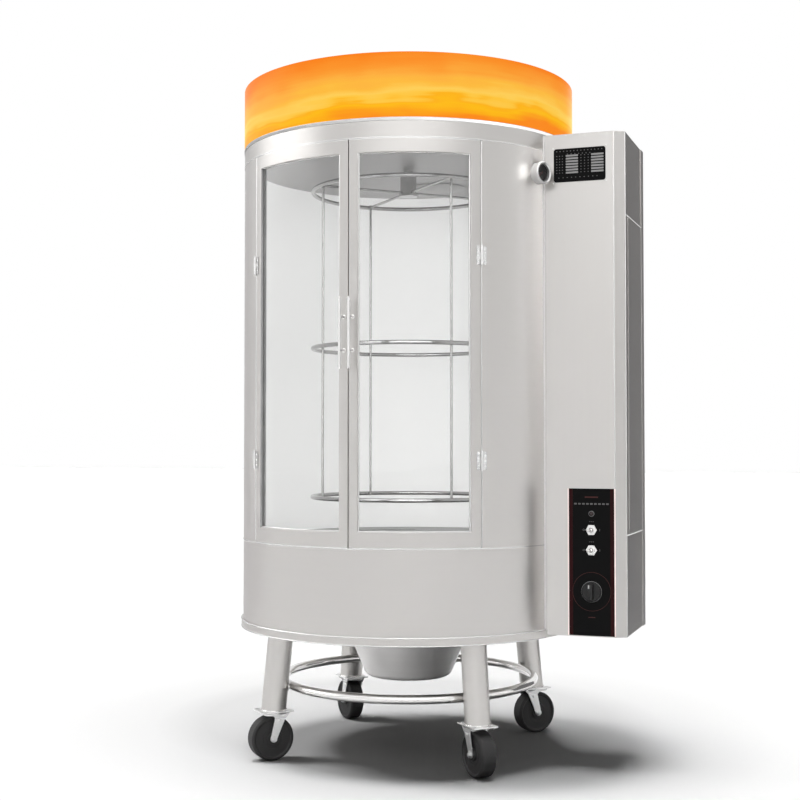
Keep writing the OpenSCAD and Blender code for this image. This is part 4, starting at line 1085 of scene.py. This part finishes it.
SHOULDER = ((-20, 110.6), (44, 110.6), (45, 107.5), (40, 105), (22, 103.4), (16, 97), (-8, 97))
for name, degrees in CORNERS.items():
    bm = bmesh.new()
    weld(bm, round_leg(degrees, BASE_Z - 1, LEG_R + 0.4), 2.2)
    weld(bm, round_leg(degrees, FOOT_TOP + 1.2, LEG_R + 0.2), 1.9)
    place = facing_out(LEG_TOP_R + (BASE_Z - BRACE_Z) * LEAN - LEG_R, degrees, BRACE_Z)
    turns = [math.radians(a) for a in range(0, 360, 12)]
    ring = [Vector((BRACE_WELD_R * math.cos(t), BRACE_WELD_R * math.sin(t), 0)) for t in turns]
    weld(bm, [place @ point for point in ring], 2.2)
    piece(bm, "leg_welds_" + name, "oven", "polished")
    bm = bmesh.new()
    swivel = Matrix.Translation(polar(KINGPIN_R, degrees, 0))
    cup = ((12, 111), (27, 111), (27.4, 110), (26, 107.6), (22, 104.4), (19.6, 104), (12, 105))
    lathe(bm, cup, swivel, 40)
    piece(bm, "swivel_cup_" + name, "caster_" + name, "zinc")
    bm = bmesh.new()
    side_on = facing_out(KINGPIN_R, degrees, 0)
    for x in (-ARM_OUT - 1, ARM_OUT):
        rims = []
        for shift in (0, 1):
            rims.append([bm.verts.new(side_on @ Vector((x + shift, z, out))) for out, z in SHOULDER])
        for i in range(len(SHOULDER)):
            bm.faces.new((rims[0][i - 1], rims[0][i], rims[1][i], rims[1][i - 1]))
        bm.faces.new(rims[0])
        bm.faces.new(rims[1])
    piece(bm, "fork_shoulders_" + name, "caster_" + name, "zinc", CHROME_AND_HIGHLIGHT_STEEL)
    bm = bmesh.new()
    axle = facing_out(KINGPIN_R + TRAIL, degrees, WHEEL_R)
    arm_rivet = facing_out(KINGPIN_R + 6, degrees, 93)
    for sign in (-1, 1):
        turn = Matrix.Rotation(math.radians(90 * sign), 4, "Y")
        hex_head(bm, axle @ turn @ Matrix.Translation(UP * (ARM_OUT + 2.9)), 8, 3)
        rivet(bm, arm_rivet @ turn @ Matrix.Translation(UP * ARM_OUT), 3.6, 2)
    piece(bm, "fork_bolts_" + name, "caster_" + name, "zinc")
    bm = bmesh.new()
    hub = axle @ Matrix.Rotation(math.radians(90), 4, "Y")
    for sign in (-1, 1):
        side = sign * WHEEL_SIDE
        lathe(bm, ((44.6, side - sign * 0.4), (45, side + sign * 0.6), (46.6, side + sign * 0.6),
                   (47, side - sign * 0.4)), hub, 64)
        lathe(bm, ((20, side - sign * 3.2), (20.6, side - sign * 2), (23.4, side - sign * 2),
                   (24, side - sign * 3.2)), hub, 48)
    piece(bm, "wheel_rims_" + name, "wheel_" + name, "tyre_black")

# Rack: weld nubs where the rods cross the rings
bm = bmesh.new()
for degrees in CORNERS.values():
    for z in RACK_RING_Z:
        for shift in (-4.6, 4.6):
            place = Matrix.Translation(polar(RACK_R, degrees, z + shift * 0.7))
            rivet(bm, place @ Matrix.Rotation(math.radians(180 if shift < 0 else 0), 4, "X"), 3.6, 2.4)
piece(bm, "rack_welds", "rack", "polished", RACK_STEEL)

# Chamber: baffle that hangs under the flue, in the ceiling's darker steel with its painted shade
bm = bmesh.new()
baffle = ((0, 1400), (72, 1400), (73, 1400.3), (72.6, 1400.8), (0, 1400.8))
lathe(bm, baffle, Matrix.Translation(FLUE), 48)
for i in range(4):
    lathe(bm, ((3, 1400.6), (3, 1402.2)), Matrix.Translation(FLUE + polar(60, 45 + i * 90, 0)), 12)
piece(bm, "flue_baffle", "oven", "stainless_liner", SHADED_CEILING_STEEL)

# Box: pale sealant where it meets the drum, a painted highlight where shade would fall; bright lines along
# its folds and white beads on its side, painted highlights; a darker face on its bevel, painted shade
bm = bmesh.new()
for x, y in ((374.9, -141.8), (384.9, 111.9)):
    tube(bm, upright_line(Vector((x, y, 0)), PAN_TOP + 1, BOX_TOP, 20), 2.4, 10)
piece(bm, "box_sealant", "oven", "white_plastic", PALE_SEALANT_HIGHLIGHT)
# Bright lines along the folds: painted highlights
bm = bmesh.new()
for x, y in ((534, -141.1), (557.1, -128)):
    tube(bm, upright_line(Vector((x, y, 0)), FASCIA_Z0 - 1, BOX_TOP, 20), 1.1, 8)
piece(bm, "box_fold_lines", "oven", "polished", CHROME_AND_HIGHLIGHT_STEEL)
# White beads on the side: painted highlight lines
bm = bmesh.new()
SIDE_BEAD_Z = (528, 1245)
for z in SIDE_BEAD_Z:
    tube(bm, [Vector((557.1, -118 + 218 * i / 8, z)) for i in range(9)], 1.6, 6)
side_beads = piece(bm, "side_panel_beads", "oven", "white_plastic", WHITE_AND_HIGHLIGHT)
# Face of the bevel in the darker steel: painted shade
bm = bmesh.new()
fold_turn = Matrix.Rotation(math.atan2(13, 23), 4, "Z")
fold = Matrix.Translation((545.6, -134.7, 867.5)) @ fold_turn @ UPRIGHT
slab(bm, fold, 25.4, 1126, 0.4, 0.3)
piece(bm, "box_fold_face", "oven", "stainless", SHADED_FOLD_STEEL)

# Shadow of the floor's own key: only the low pieces cast it, and an unseen card over the bowl's hole
low_names = ["base_pan", "legs", "brace_ring", "caster_plates", "drip_bowl"]
low_names += [kind + corner for kind in ("fork_", "wheel_") for corner in CORNERS]
low_pieces = bpy.data.collections.new("low_pieces")
for name in low_names:
    low_pieces.objects.link(shown(name))
hole_place = Matrix.Translation(UP * (PAN_TOP * MM))
hole_card = stage_sheet("hole_card", grey_card("hole_grey", 0), hole_place, 0.4, 0.4)
unseen(hole_card, "camera", "diffuse", "glossy", "transmission")
low_pieces.objects.link(hole_card)
floor_key.light_linking.blocker_collection = low_pieces

# Soft light from the right on the drum beside the box, which the box would hide
CORNER_STRENGTH = 0.17
CORNER_LOW_STRENGTH = 0.034
CORNER_TURN = math.radians(102)
corner_from = to_right * math.sin(CORNER_TURN) - to_back * math.cos(CORNER_TURN) + UP * 0.306
corner_fill = sun("corner_fill", -corner_from, CORNER_STRENGTH, 28)
corner_low = sun("corner_low", UP * 0.33 - corner_from, CORNER_LOW_STRENGTH, 26)
walls = (shown("lower_skirt"), shown("outer_wall"))
lights_only((corner_fill, corner_low), walls, "INCLUDE")

# Glow of the gauge's pale case on the drum
GLOW_POWER = 0.013
glow_from = to_right * 0.975 - to_back * 0.096 + UP * 0.2
glow_place = polar(BODY_R, 59.6, 1341) * MM + glow_from * 0.035
gauge_glow = bulb("gauge_glow", glow_place, GLOW_POWER, 0.019)
unseen(gauge_glow, "camera")
lights_only((gauge_glow,), walls + (shown("top_band"),), "INCLUDE")

# Soft light from the left on the bowl
BOWL_STRENGTH = 1.4
bowl_fill = sun("bowl_fill", to_right * 0.85 + to_back * 0.53, BOWL_STRENGTH, 30)
lights_only((bowl_fill,), (shown("drip_bowl"),), "INCLUDE")

# Light from the right on the beads of the box and on the moulding under the lit ring
BEAD_STRENGTH = 2.6
bead_fill = sun("bead_fill", to_back * 0.5 - to_right * 0.86, BEAD_STRENGTH, 30)
lights_only((bead_fill,), (side_beads, moulding), "INCLUDE")

# Metal answers the lamps for single places, and nothing shades them
open_way = bpy.data.collections.new("open_way")
open_way.objects.link(cards[0])
for lamp in (corner_fill, corner_low, gauge_glow, bowl_fill, bead_fill):
    lamp.visible_glossy = True
    lamp.data.cycles.use_multiple_importance_sampling = False
    lamp.light_linking.blocker_collection = open_way
